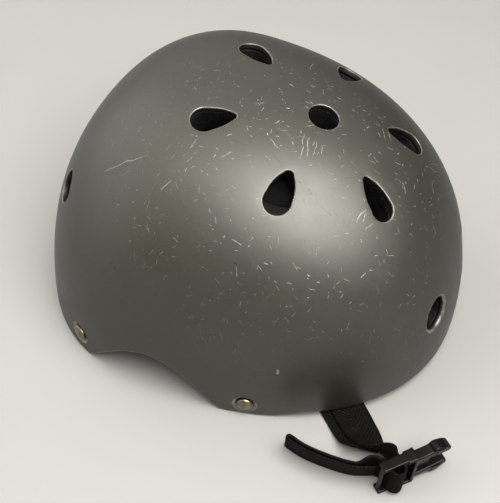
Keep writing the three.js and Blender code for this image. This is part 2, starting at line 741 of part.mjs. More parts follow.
makeShell(drills, holes);
makeLiner(drills);
makePads();
for (const place of places) {
  addPiece(place.name + "_rivet", rivetShape(place), agedBrass);
  addPiece(place.name + "_rivet_washer", washerShape(place), zincPlate);
}
makeLeftStraps(places.slice(0, 2));
makeLeftChinStrap();
makeRightStraps(places.slice(2));
makeMaleBuckle();
makeSocket();
root.position.copy(BOX_BOTTOM_CENTRE).negate();

export default root;
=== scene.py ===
"""Hard-shell helmet with riveted webbing, fit pads and a side-release buckle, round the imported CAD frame."""
import json
import math

import bmesh
import bpy
import numpy as np
from mathutils import Matrix, Vector
from mathutils.geometry import delaunay_2d_cdt

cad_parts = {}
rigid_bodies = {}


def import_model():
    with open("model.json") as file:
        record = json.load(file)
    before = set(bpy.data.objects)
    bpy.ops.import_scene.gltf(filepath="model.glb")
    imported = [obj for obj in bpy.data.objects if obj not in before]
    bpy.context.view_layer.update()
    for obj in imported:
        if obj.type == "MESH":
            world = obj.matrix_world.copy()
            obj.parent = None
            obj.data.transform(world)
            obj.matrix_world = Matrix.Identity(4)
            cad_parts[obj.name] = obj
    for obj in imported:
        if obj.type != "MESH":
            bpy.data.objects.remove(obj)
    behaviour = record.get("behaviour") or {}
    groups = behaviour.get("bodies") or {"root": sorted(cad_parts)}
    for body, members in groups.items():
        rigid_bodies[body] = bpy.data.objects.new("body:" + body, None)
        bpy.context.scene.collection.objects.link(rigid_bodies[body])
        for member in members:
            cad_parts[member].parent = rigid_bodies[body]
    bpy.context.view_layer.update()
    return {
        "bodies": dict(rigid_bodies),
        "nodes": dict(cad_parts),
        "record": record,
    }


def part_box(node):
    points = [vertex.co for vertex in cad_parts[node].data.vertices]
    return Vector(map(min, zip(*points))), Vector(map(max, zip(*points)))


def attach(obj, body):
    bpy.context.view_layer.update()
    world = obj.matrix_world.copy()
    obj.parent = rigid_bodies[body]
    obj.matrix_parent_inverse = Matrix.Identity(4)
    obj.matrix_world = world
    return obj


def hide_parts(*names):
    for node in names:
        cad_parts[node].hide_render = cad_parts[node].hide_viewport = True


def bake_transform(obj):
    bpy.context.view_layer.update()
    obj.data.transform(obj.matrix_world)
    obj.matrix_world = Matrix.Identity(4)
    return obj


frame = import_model()

MM = 0.001
# Millimetres here are the dome's own, with its middle plane at y = 0. OFFSET leads to the row frame.
OFFSET = np.array([11.9, -5.1, 0.0])

# Outer dome, as in the CAD model.
APEX_X = 27.7
FRONT_LENGTH = 97.8
REAR_LENGTH = 153.2
HALF_WIDTH = 113.6
DOME_RISE = 148.5
DOME_BASE_Z = -5.1
DOME_DEPTH_BELOW = 40.0
PLAN_POWER = 2.22
SIDE_POWER = 2.45

SHELL_THICKNESS = 3.2
LINER_START = 3.8
LINER_END = 21.2

ARCH_X = 22.5
ARCH_HALF_LENGTH = 43.0
ARCH_HEIGHT = 29.5
ARCH_POWER = 1.2
NAPE_RISE = 4.9
NAPE_START_X = -42.0
NAPE_END_X = -72.0
BROW_RISE = 4.0
BROW_START_X = 78.0
BROW_END_X = 125.0
LINER_EDGE_Z = 25.0
LINER_ARCH_HEIGHT = 10.0

# Vents: plan places of the narrow and wide ends, radii of the wide and narrow ends, the sides' bulge,
# and the radius that rounds the outer lip.
CROWN_VENT = (-28.5, 0.0, 8.6)
CROWN_LIP = 0.7
VENT_PAIRS = [
    ((12.3, 23.6), (33.3, 36.2), 7.6, 2.0, 1.0, 0.75),
    ((-26.0, 41.0), (-25.2, 63.2), 7.4, 2.9, 1.1, 0.75),
    ((-60.6, 20.4), (-79.4, 30.4), 7.0, 2.0, 1.2, 0.75),
    ((98.3, 54.6), (99.6, 65.4), 8.0, 4.0, 1.0, 0.75),
    ((-116.2, 23.7), (-118.5, 31.8), 8.9, 7.9, 0.8, 2.1),
]
# Rivets: name, place along the helmet, height, and how deep the webbing lies behind them.
RIVETS = [("front", 72.3, 13.0, 6.6), ("rear", -34.3, 9.4, 5.3)]
# A rivet's dimple and hole, as radius and depth.
DIMPLE = [(7.6, 0), (7.1, 0.05), (6.7, 0.25), (6.2, 0.65), (5.7, 0.95), (5.1, 1.05), (2.6, 1.05), (2.3, 1.3)]

WEB_WIDTH = 20.0
WEB_THICKNESS = 1.5
WEAVE_PITCH = 2.3
YARN_PITCH = 0.0011
YARN_SLOPE = 2.2
LOWER_LAYER_Z = 1.1
UPPER_LAYER_Z = 3.0

LEFT = 1
RIGHT = -1
UP = np.array([0.0, 0.0, 1.0])


def unit(v):
    v = np.asarray(v, float)
    return v / np.linalg.norm(v, axis=-1, keepdims=True)


def circle(count):
    """Unit vectors evenly round a circle."""
    angles = np.linspace(0, 2 * math.pi, count, endpoint=False)
    return np.stack([np.cos(angles), np.sin(angles)], 1)


# ---------------------------------------------------------------- the dome


def super_radius(a, b, power):
    return (np.abs(a) ** power + np.abs(b) ** power) ** (-1 / power)


def dome(turn, climb, inset=0.0):
    """Points at plan angles turn and height angles climb, on the dome shrunk by inset."""
    forward, sideways = np.cos(turn), np.sin(turn)
    level = super_radius(np.cos(climb), np.sin(climb), SIDE_POWER)
    rise = np.where(climb > 0, DOME_RISE - inset, DOME_DEPTH_BELOW)
    out = level * np.cos(climb) * super_radius(forward, sideways, PLAN_POWER)
    length = np.where(forward > 0, FRONT_LENGTH, REAR_LENGTH) - inset
    x = APEX_X + length * out * forward
    y = (HALF_WIDTH - inset) * out * sideways
    return np.stack([x, y, DOME_BASE_Z + rise * level * np.sin(climb)], -1)


def dome_level(p, inset=0.0):
    length = np.where(p[..., 0] > APEX_X, FRONT_LENGTH, REAR_LENGTH) - inset
    x = (p[..., 0] - APEX_X) / length
    y = p[..., 1] / (HALF_WIDTH - inset)
    z = (p[..., 2] - DOME_BASE_Z) / (DOME_RISE - inset)
    plan = (np.abs(x) ** PLAN_POWER + np.abs(y) ** PLAN_POWER) ** (SIDE_POWER / PLAN_POWER)
    return plan + np.abs(z) ** SIDE_POWER


def dome_normal(p):
    step = 0.01
    slope = [dome_level(p + step * a) - dome_level(p - step * a) for a in np.eye(3)]
    return unit(np.stack(slope, -1))


def dome_angles(p):
    """The plan angle and height angle of points on the outer dome."""
    x = (p[..., 0] - APEX_X) / np.where(p[..., 0] > APEX_X, FRONT_LENGTH, REAR_LENGTH)
    y = p[..., 1] / HALF_WIDTH
    z = (p[..., 2] - DOME_BASE_Z) / DOME_RISE
    turn = np.arctan2(y, x)
    plan = super_radius(np.cos(turn), np.sin(turn), PLAN_POWER)
    return turn, np.arctan2(z, np.hypot(x, y) / plan)


def dome_above(x, y, inset=0.0):
    p = np.array([x, y, DOME_BASE_Z], float)
    rise = (DOME_RISE - inset) * max(0.0, 1 - float(dome_level(p, inset))) ** (1 / SIDE_POWER)
    return np.array([x, y, DOME_BASE_Z + rise])


def dome_beside(x, z, side):
    up = abs((z - DOME_BASE_Z) / DOME_RISE) ** SIDE_POWER
    plan = (1 - up) ** (PLAN_POWER / SIDE_POWER)
    length = FRONT_LENGTH if x > APEX_X else REAR_LENGTH
    along = abs((x - APEX_X) / length) ** PLAN_POWER
    return np.array([x, side * HALF_WIDTH * (plan - along) ** (1 / PLAN_POWER), z])


def onto_dome(points, direction, inset):
    """Moves points along a direction onto the dome shrunk by inset."""
    low = np.full(len(points), -45.0)
    high = np.full(len(points), 25.0)
    for _ in range(34):
        middle = (low + high) / 2
        outside = dome_level(points + middle[:, None] * direction, inset) > 1
        high = np.where(outside, middle, high)
        low = np.where(outside, low, middle)
    return points + low[:, None] * direction


# ---------------------------------------------------------------- rim and edges


def ramp(x, start, end):
    t = np.clip((x - start) / (end - start), 0, 1)
    return t * t * (3 - 2 * t)


def arch_at(x):
    across = np.clip(np.abs((x - ARCH_X) / ARCH_HALF_LENGTH), 0, 1)
    return (1 - across**2) ** ARCH_POWER


def rim_height(x):
    nape = NAPE_RISE * ramp(x, NAPE_START_X, NAPE_END_X)
    brow = BROW_RISE * ramp(x, BROW_START_X, BROW_END_X)
    return ARCH_HEIGHT * arch_at(x) + nape + brow


def liner_edge(x):
    return LINER_EDGE_Z + LINER_ARCH_HEIGHT * arch_at(x)


def edge_climb(turn, height, above, inset=0.0):
    """The height angle at which the dome crosses an edge height, for each plan angle."""
    low = np.full(len(turn), -0.3)
    high = np.full(len(turn), 1.3)
    for _ in range(40):
        middle = (low + high) / 2
        p = dome(turn, middle, inset)
        over = p[:, 2] > height(p[:, 0]) + above
        high = np.where(over, middle, high)
        low = np.where(over, low, middle)
    return (low + high) / 2


def rounded_edge(outer_radius, inner_radius, thickness, steps=6):
    """(distance from the edge, share of the thickness) round a wall's edge, from outer to inner face."""
    profile = []
    for i in range(steps + 1):
        a = math.pi / 2 * i / steps
        profile.append((outer_radius * (1 - math.sin(a)), outer_radius * (1 - math.cos(a)) / thickness))
    for i in range(steps + 1):
        a = math.pi / 2 * i / steps
        profile.append((inner_radius * (1 - math.cos(a)), 1 - inner_radius * (1 - math.sin(a)) / thickness))
    return profile


# ---------------------------------------------------------------- openings


def slot_outline(length, wide, narrow, bulge, count):
    """Points and outward directions round a tapered slot with bulging sides, evenly spaced."""
    wide_x, narrow_x = length / 2 - wide, narrow - length / 2
    touch = math.acos((narrow - wide) / (wide_x - narrow_x))
    lean = np.array([math.cos(touch), math.sin(touch)])
    start, end = wide * lean + [wide_x, 0], narrow * lean + [narrow_x, 0]
    half = [(wide_x + wide * math.cos(a), wide * math.sin(a)) for a in np.linspace(0, touch, 60)]
    for t in np.linspace(0, 1, 60)[1:]:
        half.append(tuple(start + (end - start) * t + lean * 4 * bulge * t * (1 - t)))
    for a in np.linspace(touch, math.pi, 60)[1:]:
        half.append((narrow_x + narrow * math.cos(a), narrow * math.sin(a)))
    half = np.array(half)
    points = np.concatenate([half, half[-2::-1] * [1, -1]])
    along = np.concatenate([[0], np.cumsum(np.linalg.norm(np.diff(points, axis=0), axis=1))])
    at = np.linspace(0, along[-1], count, endpoint=False)
    points = np.stack([np.interp(at, along, column) for column in points.T], 1)
    heading = unit(np.roll(points, -1, 0) - np.roll(points, 1, 0))
    return points, np.stack([heading[:, 1], -heading[:, 0]], 1)


class Opening:
    """A hole or dimple: an outline in a tangent plane, and a profile of rings from outer to inner face."""

    def __init__(self, centre, heading, outline, profile):
        self.centre = centre
        self.out = dome_normal(centre)
        self.along = unit(heading - np.dot(heading, self.out) * self.out)
        self.across = np.cross(self.out, self.along)
        self.points, self.normals = outline
        self.profile = profile

    def ring(self, distance, share, start, end):
        flat = self.points + distance * self.normals
        p = self.centre + flat[:, :1] * self.along + flat[:, 1:] * self.across
        outer, inner = onto_dome(p, self.out, start), onto_dome(p, self.out, end)
        return outer + share * (inner - outer)


def vent_openings(grow, inner_radius, thickness, outer_radius=None):
    """All vents' openings, larger by grow, with each vent's own lip unless an outer radius is given."""
    crown = dome_above(CROWN_VENT[0], CROWN_VENT[1])
    radius = CROWN_VENT[2] + grow
    ring = circle(72)
    edge = rounded_edge(outer_radius or CROWN_LIP, inner_radius, thickness)
    vents = [Opening(crown, np.array([1.0, 0, 0]), (radius * ring, ring), edge)]
    for tip, end, wide, narrow, bulge, lip in VENT_PAIRS:
        edge = rounded_edge(outer_radius or lip, inner_radius, thickness)
        for side in (LEFT, RIGHT):
            a, b = dome_above(tip[0], side * tip[1]), dome_above(end[0], side * end[1])
            middle = dome_above((tip[0] + end[0]) / 2, side * (tip[1] + end[1]) / 2)
            points, normals = slot_outline(np.linalg.norm(b - a), wide, narrow, bulge, 84)
            points = points + grow * normals
            vents.append(Opening(middle, b - a, (points, normals), edge))
    return vents


def rivet_places():
    places = []
    for side in (LEFT, RIGHT):
        for name, x, z, depth in RIVETS:
            at = dome_beside(x, z, side)
            out = dome_normal(at)
            along = unit(np.array([1.0, 0, 0]) - out[0] * out)
            up = unit(-side * np.cross(out, along))
            full = ("left_" if side == LEFT else "right_") + name
            places.append({"name": full, "at": at, "out": out, "along": along, "up": up, "depth": depth})
    return places


RIVET_PLACES = rivet_places()


def rivet_dimples(thickness):
    ring = circle(48)
    profile = [(radius, depth / thickness) for radius, depth in DIMPLE] + [(DIMPLE[-1][0], 1.0)]
    nothing = np.zeros_like(ring)
    return [Opening(p["at"], p["along"], (nothing, ring), profile) for p in RIVET_PLACES]


# ---------------------------------------------------------------- meshes


def make_object(name, vertices, faces, material, smooth=True, uv=None, attributes=None):
    """A mesh object from points in the dome's millimetres."""
    mesh = bpy.data.meshes.new(name)
    points = (np.asarray(vertices, float) + OFFSET) * MM
    mesh.from_pydata(points.tolist(), [], [list(map(int, f)) for f in faces])
    mesh.polygons.foreach_set("use_smooth", [smooth] * len(mesh.polygons))
    if uv is not None:
        layer = mesh.uv_layers.new(name="UVMap")
        loops = np.zeros(len(mesh.loops), np.int32)
        mesh.loops.foreach_get("vertex_index", loops)
        layer.data.foreach_set("uv", np.asarray(uv, np.float32)[loops].ravel())
    for key, values in (attributes or {}).items():
        attribute = mesh.attributes.new(key, "FLOAT", "POINT")
        attribute.data.foreach_set("value", np.asarray(values, np.float32))
    mesh.materials.append(material)
    mesh.update()
    obj = bpy.data.objects.new(name, mesh)
    bpy.context.scene.collection.objects.link(obj)
    return obj


def face_outwards(obj, split=False):
    """Turns a closed mesh's faces outwards, and splits those of many corners if asked."""
    work = bmesh.new()
    work.from_mesh(obj.data)
    bmesh.ops.recalc_face_normals(work, faces=work.faces)
    if split:
        bmesh.ops.triangulate(work, faces=[f for f in work.faces if len(f.verts) > 4])
    work.to_mesh(obj.data)
    work.free()
    return obj


def quads_between(one, other):
    """Quads between two closed rows of corners."""
    count = len(one)
    return [(one[j], one[(j + 1) % count], other[(j + 1) % count], other[j]) for j in range(count)]


def stand_for(piece, body, slot, *nodes):
    """A piece that rides on a body and stands for CAD nodes, if any, which it hides; its slot is not used."""
    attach(piece, body)
    if nodes:
        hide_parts(*nodes)
    return piece


def in_polygon(points, polygon):
    x, y = points[:, 0], points[:, 1]
    inside = np.zeros(len(points), bool)
    x0, y0 = polygon[-1]
    for x1, y1 in polygon:
        if y0 != y1:
            crosses = ((y0 > y) != (y1 > y)) & (x < (x1 - x0) * (y - y0) / (y1 - y0) + x0)
            inside ^= crosses
        x0, y0 = x1, y1
    return inside


DOMAIN_SCALE = 100.0
LIP_RINGS = 4


def domain(turn, climb):
    """The dome spread flat about its apex, in units close to millimetres."""
    reach = DOMAIN_SCALE * (math.pi / 2 - climb)
    return np.stack([reach * np.cos(turn), reach * np.sin(turn)], -1)


def from_domain(flat):
    reach = np.hypot(flat[:, 0], flat[:, 1])
    return np.arctan2(flat[:, 1], flat[:, 0]), math.pi / 2 - reach / DOMAIN_SCALE


def near_any(points, others, distance):
    close = np.zeros(len(points), bool)
    for start in range(0, len(others), 64):
        block = others[start : start + 64]
        gap = np.linalg.norm(points[:, None] - block[None], axis=2).min(1)
        close |= gap < distance
    return close


def domed_wall(name, start, end, edge_height, edge_profile, openings, spacing, material):
    """A wall between two insets of the dome, with a rounded edge below and rounded openings."""
    rim_turns = np.linspace(-math.pi, math.pi, 400, endpoint=False)
    rings = []
    first_climb = None
    for above, share in edge_profile:
        climb = edge_climb(rim_turns, edge_height, above)
        outer = dome(rim_turns, climb, start)
        inner = dome(rim_turns, climb, end)
        inner[:, 2] = outer[:, 2]
        rings.append(outer + share * (inner - outer))
        if first_climb is None:
            first_climb = climb
    loops = [(domain(rim_turns, first_climb), rings)]
    for opening in openings:
        rings = [opening.ring(d, share, start, end) for d, share in opening.profile]
        on_outer = opening.ring(opening.profile[0][0], 0, 0, end)
        loops.append((domain(*dome_angles(on_outer)), rings))
    edge_points = np.concatenate([flat for flat, _ in loops])
    reach = np.abs(loops[0][0]).max() + spacing
    rows = np.arange(-reach, reach, spacing * math.sqrt(3) / 2)
    columns = np.arange(-reach, reach, spacing)
    grid = np.array([(c + (i % 2) * spacing / 2, r) for i, r in enumerate(rows) for c in columns])
    grid = grid[in_polygon(grid, loops[0][0])]
    for flat, _ in loops[1:]:
        grid = grid[~in_polygon(grid, flat)]
    grid = grid[~near_any(grid, edge_points, spacing * 0.55)]
    flat_points = np.concatenate([edge_points, grid])
    edges, base = [], 0
    for flat, _ in loops:
        count = len(flat)
        edges += [(base + i, base + (i + 1) % count) for i in range(count)]
        base += count
    result = delaunay_2d_cdt([Vector(p) for p in flat_points], edges, [], 0, 1e-6)
    merged, triangles, origin = np.array([list(v) for v in result[0]]), np.array(result[2]), result[3]
    middles = merged[triangles].mean(1)
    keep = in_polygon(middles, loops[0][0])
    for flat, _ in loops[1:]:
        keep &= ~in_polygon(middles, flat)
    triangles = triangles[keep]
    source = np.array([o[0] for o in origin])
    triangles = source[triangles]
    a, b, c = (flat_points[triangles[:, i]] for i in range(3))
    turned = (b[:, 0] - a[:, 0]) * (c[:, 1] - a[:, 1]) - (b[:, 1] - a[:, 1]) * (c[:, 0] - a[:, 0]) < 0
    triangles[turned] = triangles[turned][:, ::-1]
    turn, climb = from_domain(grid)
    vertices = [np.concatenate([rings[0] for _, rings in loops] + [dome(turn, climb, start)])]
    inner_base = len(vertices[0])
    vertices.append(np.concatenate([rings[-1] for _, rings in loops] + [dome(turn, climb, end)]))
    uv = [flat_points, flat_points]
    # edge marks the lip rings, which the shell's paint makes paler; depth marks the inner face and the rings
    # past each lip, where the shell's paint puts painted shade.
    edge_tint = [np.zeros(inner_base), np.zeros(inner_base)]
    depth = [np.zeros(inner_base), np.ones(inner_base)]
    faces = [tuple(t) for t in triangles] + [tuple(t[::-1] + inner_base) for t in triangles]
    next_index, base = 2 * inner_base, 0
    for order, (flat, rings) in enumerate(loops):
        count = len(flat)
        rows = [base + np.arange(count)]
        for number, ring in enumerate(rings[1:-1], 1):
            vertices.append(ring)
            uv.append(flat)
            on_lip = number <= LIP_RINGS
            edge_tint.append(np.full(count, 1.0 if on_lip else 0.0))
            depth.append(np.full(count, 0.0 if on_lip else 1.0))
            rows.append(next_index + np.arange(count))
            next_index += count
        rows.append(inner_base + base + np.arange(count))
        middle = flat.mean(0)
        spin = np.cross(flat - middle, np.roll(flat, -1, 0) - middle).sum()
        outwards = (spin > 0) == (order == 0)
        for upper, lower in zip(rows, rows[1:]):
            quad = (upper, lower, np.roll(lower, -1), np.roll(upper, -1))
            if not outwards:
                quad = quad[::-1]
            faces += list(zip(*quad))
        base += count
    return make_object(
        name,
        np.concatenate(vertices),
        faces,
        material,
        uv=np.concatenate(uv) * MM,
        attributes={"edge": np.concatenate(edge_tint), "depth": np.concatenate(depth)},
    )


# ---------------------------------------------------------------- materials


class Nodes:
    """A short way to write a node tree."""

    def __init__(self, tree):
        self.tree = tree

    def add(self, kind, values=None, **settings):
        node = self.tree.nodes.new(kind)
        for key, value in settings.items():
            setattr(node, key, value)
        for key, value in (values or {}).items():
            self.put(node.inputs[key], value)
        return node

    def link(self, a, b):
        self.tree.links.new(a, b)

    def put(self, socket, value):
        if isinstance(value, bpy.types.NodeSocket):
            self.link(value, socket)
        elif isinstance(value, tuple) and len(value) == 3 and socket.type == "RGBA":
            socket.default_value = (*value, 1)
        else:
            socket.default_value = value

    def math(self, operation, a, b=0.0, c=0.0):
        return self.add("ShaderNodeMath", {0: a, 1: b, 2: c}, operation=operation).outputs[0]

    def plus(self, a, b):
        return self.math("ADD", a, b)

    def minus(self, a, b):
        return self.math("SUBTRACT", a, b)

    def times(self, a, b):
        return self.math("MULTIPLY", a, b)

    def size(self, a):
        return self.math("ABSOLUTE", a)

    def vector(self, operation, a, b, output=0):
        return self.add("ShaderNodeVectorMath", {0: a, 1: b}, operation=operation).outputs[output]

    def ranged(self, value, low, high, to_low=0.0, to_high=1.0):
        values = {"Value": value, "From Min": low, "From Max": high, "To Min": to_low, "To Max": to_high}
        return self.add("ShaderNodeMapRange", values, clamp=True).outputs[0]


class Looks(Nodes):
    """A material with one shader, and the patterns it is made from."""

    def __init__(self, name):
        self.material = bpy.data.materials.new(name)
        self.material.use_nodes = True
        super().__init__(self.material.node_tree)
        self.tree.nodes.clear()
        self.output = self.add("ShaderNodeOutputMaterial")
        self.shader = self.add("ShaderNodeBsdfPrincipled")
        self.link(self.shader.outputs[0], self.output.inputs["Surface"])
        self.object = self.add("ShaderNodeTexCoord").outputs["Object"]

    def flat_map(self):
        return self.add("ShaderNodeUVMap", uv_map="UVMap").outputs[0]

    def marked(self, name):
        return self.add("ShaderNodeAttribute", attribute_name=name).outputs["Fac"]

    def noise(self, scale, detail=3.0, rough=0.5, coords=None, kind="3D"):
        values = {"Scale": scale, "Detail": detail, "Roughness": rough, "Distortion": 0.0}
        values["Vector"] = coords or self.object
        return self.add("ShaderNodeTexNoise", values, noise_dimensions=kind).outputs["Fac"]

    def cells(self, scale, coords=None, **settings):
        values = {"Vector": coords or self.object, "Scale": scale}
        return self.add("ShaderNodeTexVoronoi", values, **settings).outputs["Distance"]

    def mix(self, share, a, b):
        return self.add("ShaderNodeMix", {0: share, 6: a, 7: b}, data_type="RGBA").outputs[2]

    def tones(self, pattern, low, high, a, b):
        """Colour a where the pattern is low, and b where it is high."""
        return self.mix(self.ranged(pattern, low, high), a, b)

    def bump(self, height, distance, strength=1.0, normal=None):
        node = self.add("ShaderNodeBump", {"Height": height, "Distance": distance, "Strength": strength})
        if normal is not None:
            self.link(normal, node.inputs["Normal"])
        return node.outputs[0]

    def finish(self, **inputs):
        for key, value in inputs.items():
            self.put(self.shader.inputs[key.replace("_", " ")], value)
        return self.material


def scratch_layer(look, uv, cell, half_length, half_width, presence, seed, bend=0.0):
    """One short straight or slightly bent scratch in some cells of a flat pattern, as a mask."""
    shifted = look.vector("ADD", uv, (seed, seed * 0.7, 0))
    values = {"Vector": shifted, "Scale": 1 / cell, "Randomness": 1.0}
    cells = look.add("ShaderNodeTexVoronoi", values, voronoi_dimensions="2D")
    away = look.vector("SUBTRACT", shifted, cells.outputs["Position"])
    parts = look.add("ShaderNodeSeparateXYZ", {0: away})
    chance = look.add("ShaderNodeSeparateColor", {0: cells.outputs["Color"]})
    angle = look.times(chance.outputs[0], math.pi)
    cosine, sine = look.math("COSINE", angle), look.math("SINE", angle)
    x, y = parts.outputs[0], parts.outputs[1]
    along = look.plus(look.times(x, cosine), look.times(y, sine))
    across = look.minus(look.times(y, cosine), look.times(x, sine))
    if bend:
        across = look.plus(across, look.times(look.times(along, along), bend))
    reach = look.times(look.plus(chance.outputs[1], 0.25), half_length)
    end = look.ranged(look.minus(look.size(along), reach), -0.3 * half_length, 0, 1, 0)
    line = look.ranged(look.size(across), half_width * 0.35, half_width, 1.0, 0.0)
    shown = look.math("GREATER_THAN", chance.outputs[2], 1 - presence)
    return look.times(look.times(end, line), shown)


# Longer marks, each from one place to another on the spread-out dome, with a half width and a strength.
PALE_MARKS = [
    ((43.1, 58.3), (18.1, 50.6), 0.19, 0.8),
    ((5.8, 64.0), (1.4, 58.9), 0.34, 0.45),
    ((-34.8, 27.8), (-32.4, 14.5), 0.20, 0.8),
    ((-36.6, 25.4), (-34.4, 14.8), 0.21, 0.85),
    ((-38.3, 23.5), (-37.0, 14.9), 0.17, 0.7),
    ((-40.2, 20.5), (-39.6, 15.5), 0.21, 0.8),
    ((-59.7, 38.1), (-61.3, 29.9), 0.26, 0.85),
    ((-61.9, 36.5), (-62.2, 31.5), 0.22, 0.8),
    ((-64.5, 36.8), (-65.5, 33.2), 0.21, 0.8),
    ((-54.5, -15.5), (-58.0, -9.5), 0.19, 0.7),
    ((-56.8, -17.0), (-60.0, -11.0), 0.19, 0.7),
    ((-70.5, 4.0), (-73.5, 9.5), 0.17, 0.6),
    ((-77.0, -23.0), (-80.0, -33.0), 0.19, 0.7),
    ((-79.5, -20.0), (-82.0, -28.0), 0.16, 0.6),
    ((-23.0, 24.5), (-27.5, 27.5), 0.22, 0.75),
    ((-63.3, 110.4), (-62.9, 107.7), 0.70, 0.85),
    ((12.0, -38.0), (19.0, -43.0), 0.19, 0.6),
    ((-30.0, -52.0), (-38.0, -49.0), 0.19, 0.6),
]
DARK_MARKS = [
    ((-50.8, 24.6), (-54.6, 19.0), 0.35, 0.6),
    ((-54.6, 19.0), (-60.5, 12.8), 0.28, 0.5),
    ((-40.8, 13.6), (-37.0, 19.5), 0.40, 0.6),
    ((-37.0, 19.5), (-37.8, 23.8), 0.30, 0.5),
]


# Layers of small marks, in metres: cell size, half length and half width, then the share of cells
# with a mark, a seed and a bend.
NICKS = [
    (0.0068, 0.0013, 0.00018, 0.42, 3.1),
    (0.0105, 0.0023, 0.00018, 0.32, 8.7, 30),
    (0.0210, 0.0040, 0.00016, 0.26, 1.9, -14),
    (0.0048, 0.0006, 0.00026, 0.30, 5.3),
    (0.0041, 0.0012, 0.00014, 0.34, 15.9, 60),
]
HAIRS = [(0.0085, 0.0030, 0.00016, 0.50, 21.3, 40), (0.0130, 0.0046, 0.00015, 0.40, 27.9, -25)]
TINTED_RUBS = (0.034, 0.0038, 0.0007, 0.16, 12.4, 50)
WEAR_MIDDLE = (-0.045, 0.012, 0)


def segment_mask(look, uv, start, end, width, strength):
    """A mask along one straight line of the flat pattern."""
    start, end = np.array(start) * MM, np.array(end) * MM
    heading = end - start
    length = float(np.hypot(*heading))
    heading = heading / length
    away = look.vector("SUBTRACT", uv, (*start, 0))
    along = look.vector("DOT_PRODUCT", away, (*heading, 0), "Value")
    normal = (-heading[1], heading[0], 0)
    across = look.vector("DOT_PRODUCT", away, normal, "Value")
    wander = look.minus(look.noise(220, 2, coords=uv, kind="2D"), 0.5)
    wander = look.times(wander, 1.8 * MM)
    off_line = look.size(look.plus(across, wander))
    line = look.ranged(off_line, width * 0.4 * MM, width * MM, 1, 0)
    inside = look.ranged(along, 0, length * 0.2)
    outside = look.ranged(along, length * 0.7, length, 1, 0)
    return look.times(look.times(line, inside), look.times(outside, strength))


def most(look, masks):
    total = masks[0]
    for mask in masks[1:]:
        total = look.math("MAXIMUM", total, mask)
    return total


def shell_paint():
    """Satin grey paint with clouding, fine grain, nicks, hairlines, tinted rubs, paler edges, and painted
    shade on the inner faces and vent walls.
    """
    look = Looks("shell_paint")
    uv = look.flat_map()
    edge = look.marked("edge")
    depth = look.marked("depth")
    cloudy = look.noise(14, 4, 0.55)
    fine = look.noise(1400, 2, 0.6)
    colour = look.tones(cloudy, 0.3, 0.7, (0.0285, 0.0285, 0.0205), (0.0345, 0.0343, 0.0245))
    colour = look.mix(look.ranged(fine, 0.35, 0.75, 0, 0.30), colour, (0.058, 0.058, 0.045))
    # Wear is densest over the crown and towards the rear.
    reach = look.vector("DISTANCE", uv, WEAR_MIDDLE, "Value")
    crown = look.ranged(reach, 0.03, 0.105, 1.0, 0.12)
    patchy = look.ranged(look.noise(26, 3, 0.6), 0.42, 0.60, 0.30, 1.0)
    worn = look.times(crown, patchy)
    nicks = most(look, [scratch_layer(look, uv, *layer) for layer in NICKS])
    broken = look.ranged(look.noise(900, 2, 0.6), 0.36, 0.54)
    nicks = look.times(look.times(nicks, worn), broken)
    broken_long = look.ranged(look.noise(700, 2, 0.6), 0.30, 0.52, 0.15, 1.0)
    marks = most(look, [segment_mask(look, uv, *mark) for mark in PALE_MARKS])
    total = look.math("MAXIMUM", nicks, look.times(marks, broken_long))
    scuff = look.ranged(look.noise(60, 6, 0.72), 0.61, 0.78, 0, 0.30)
    scuff = look.times(scuff, look.ranged(reach, 0.03, 0.14, 1, 0.25))
    colour = look.mix(scuff, colour, (0.085, 0.083, 0.070))
    hairs = most(look, [scratch_layer(look, uv, *layer) for layer in HAIRS])
    hairs = look.times(look.times(hairs, worn), 0.75)
    dark = look.math("MAXIMUM", hairs, most(look, [segment_mask(look, uv, *mark) for mark in DARK_MARKS]))
    colour = look.mix(dark, colour, (0.010, 0.010, 0.009))
    pits = look.cells(24.0, uv, voronoi_dimensions="2D")
    dot = look.ranged(pits, 0.008, 0.016, 0.8, 0)
    colour = look.mix(dot, colour, (0.006, 0.006, 0.005))
    colour = look.mix(total, colour, (0.36, 0.355, 0.31))
    tinted = scratch_layer(look, uv, *TINTED_RUBS)
    tint = look.times(look.times(tinted, crown), 0.45)
    shade = look.tones(cloudy, 0.47, 0.53, (0.085, 0.080, 0.018), (0.085, 0.028, 0.018))
    colour = look.mix(tint, colour, shade)
    # Rims and the lips of vents and dimples are painted paler, in patches.
    paler_edges = look.times(edge, look.ranged(look.noise(160, 3, 0.6), 0.3, 0.7, 0.12, 0.85))
    colour = look.mix(paler_edges, colour, (0.20, 0.197, 0.175))
    # Flakes in the paint lie along the surface, so it darkens where it is seen at a low angle.
    facing = look.add("ShaderNodeLayerWeight", {"Blend": 0.5}).outputs["Facing"]
    flop = look.ranged(facing, 0.2, 0.72, 1.0, 0.34)
    flop = look.math("MAXIMUM", flop, edge)
    colour = look.mix(flop, (0.0, 0.0, 0.0), colour)
    # Painted shade: the walls past each lip, in the vents, round the rim and in the rivet dimples, are
    # darkened nearly to black, and the shell's inner face with them.
    colour = look.mix(look.times(depth, 0.8), colour, (0.004, 0.004, 0.004))
    rough = look.ranged(look.noise(55, 5, 0.6), 0.3, 0.7, 0.43, 0.50)
    rough = look.plus(rough, look.times(look.plus(total, scuff), 0.2))
    rough = look.minus(rough, look.times(edge, 0.12))
    peel = look.bump(look.noise(420, 2, 0.5), 0.00010, 0.25)
    grain = look.bump(fine, 0.00005, 0.30, peel)
    cut = look.plus(total, look.times(dark, 0.2))
    nick = look.bump(look.times(cut, -1.0), 0.00020, 0.8, grain)
    return look.finish(
        Base_Color=colour, Roughness=rough, Metallic=0.12, Normal=nick, Specular_IOR_Level=0.55
    )


BEAD_SCALE = 290.0


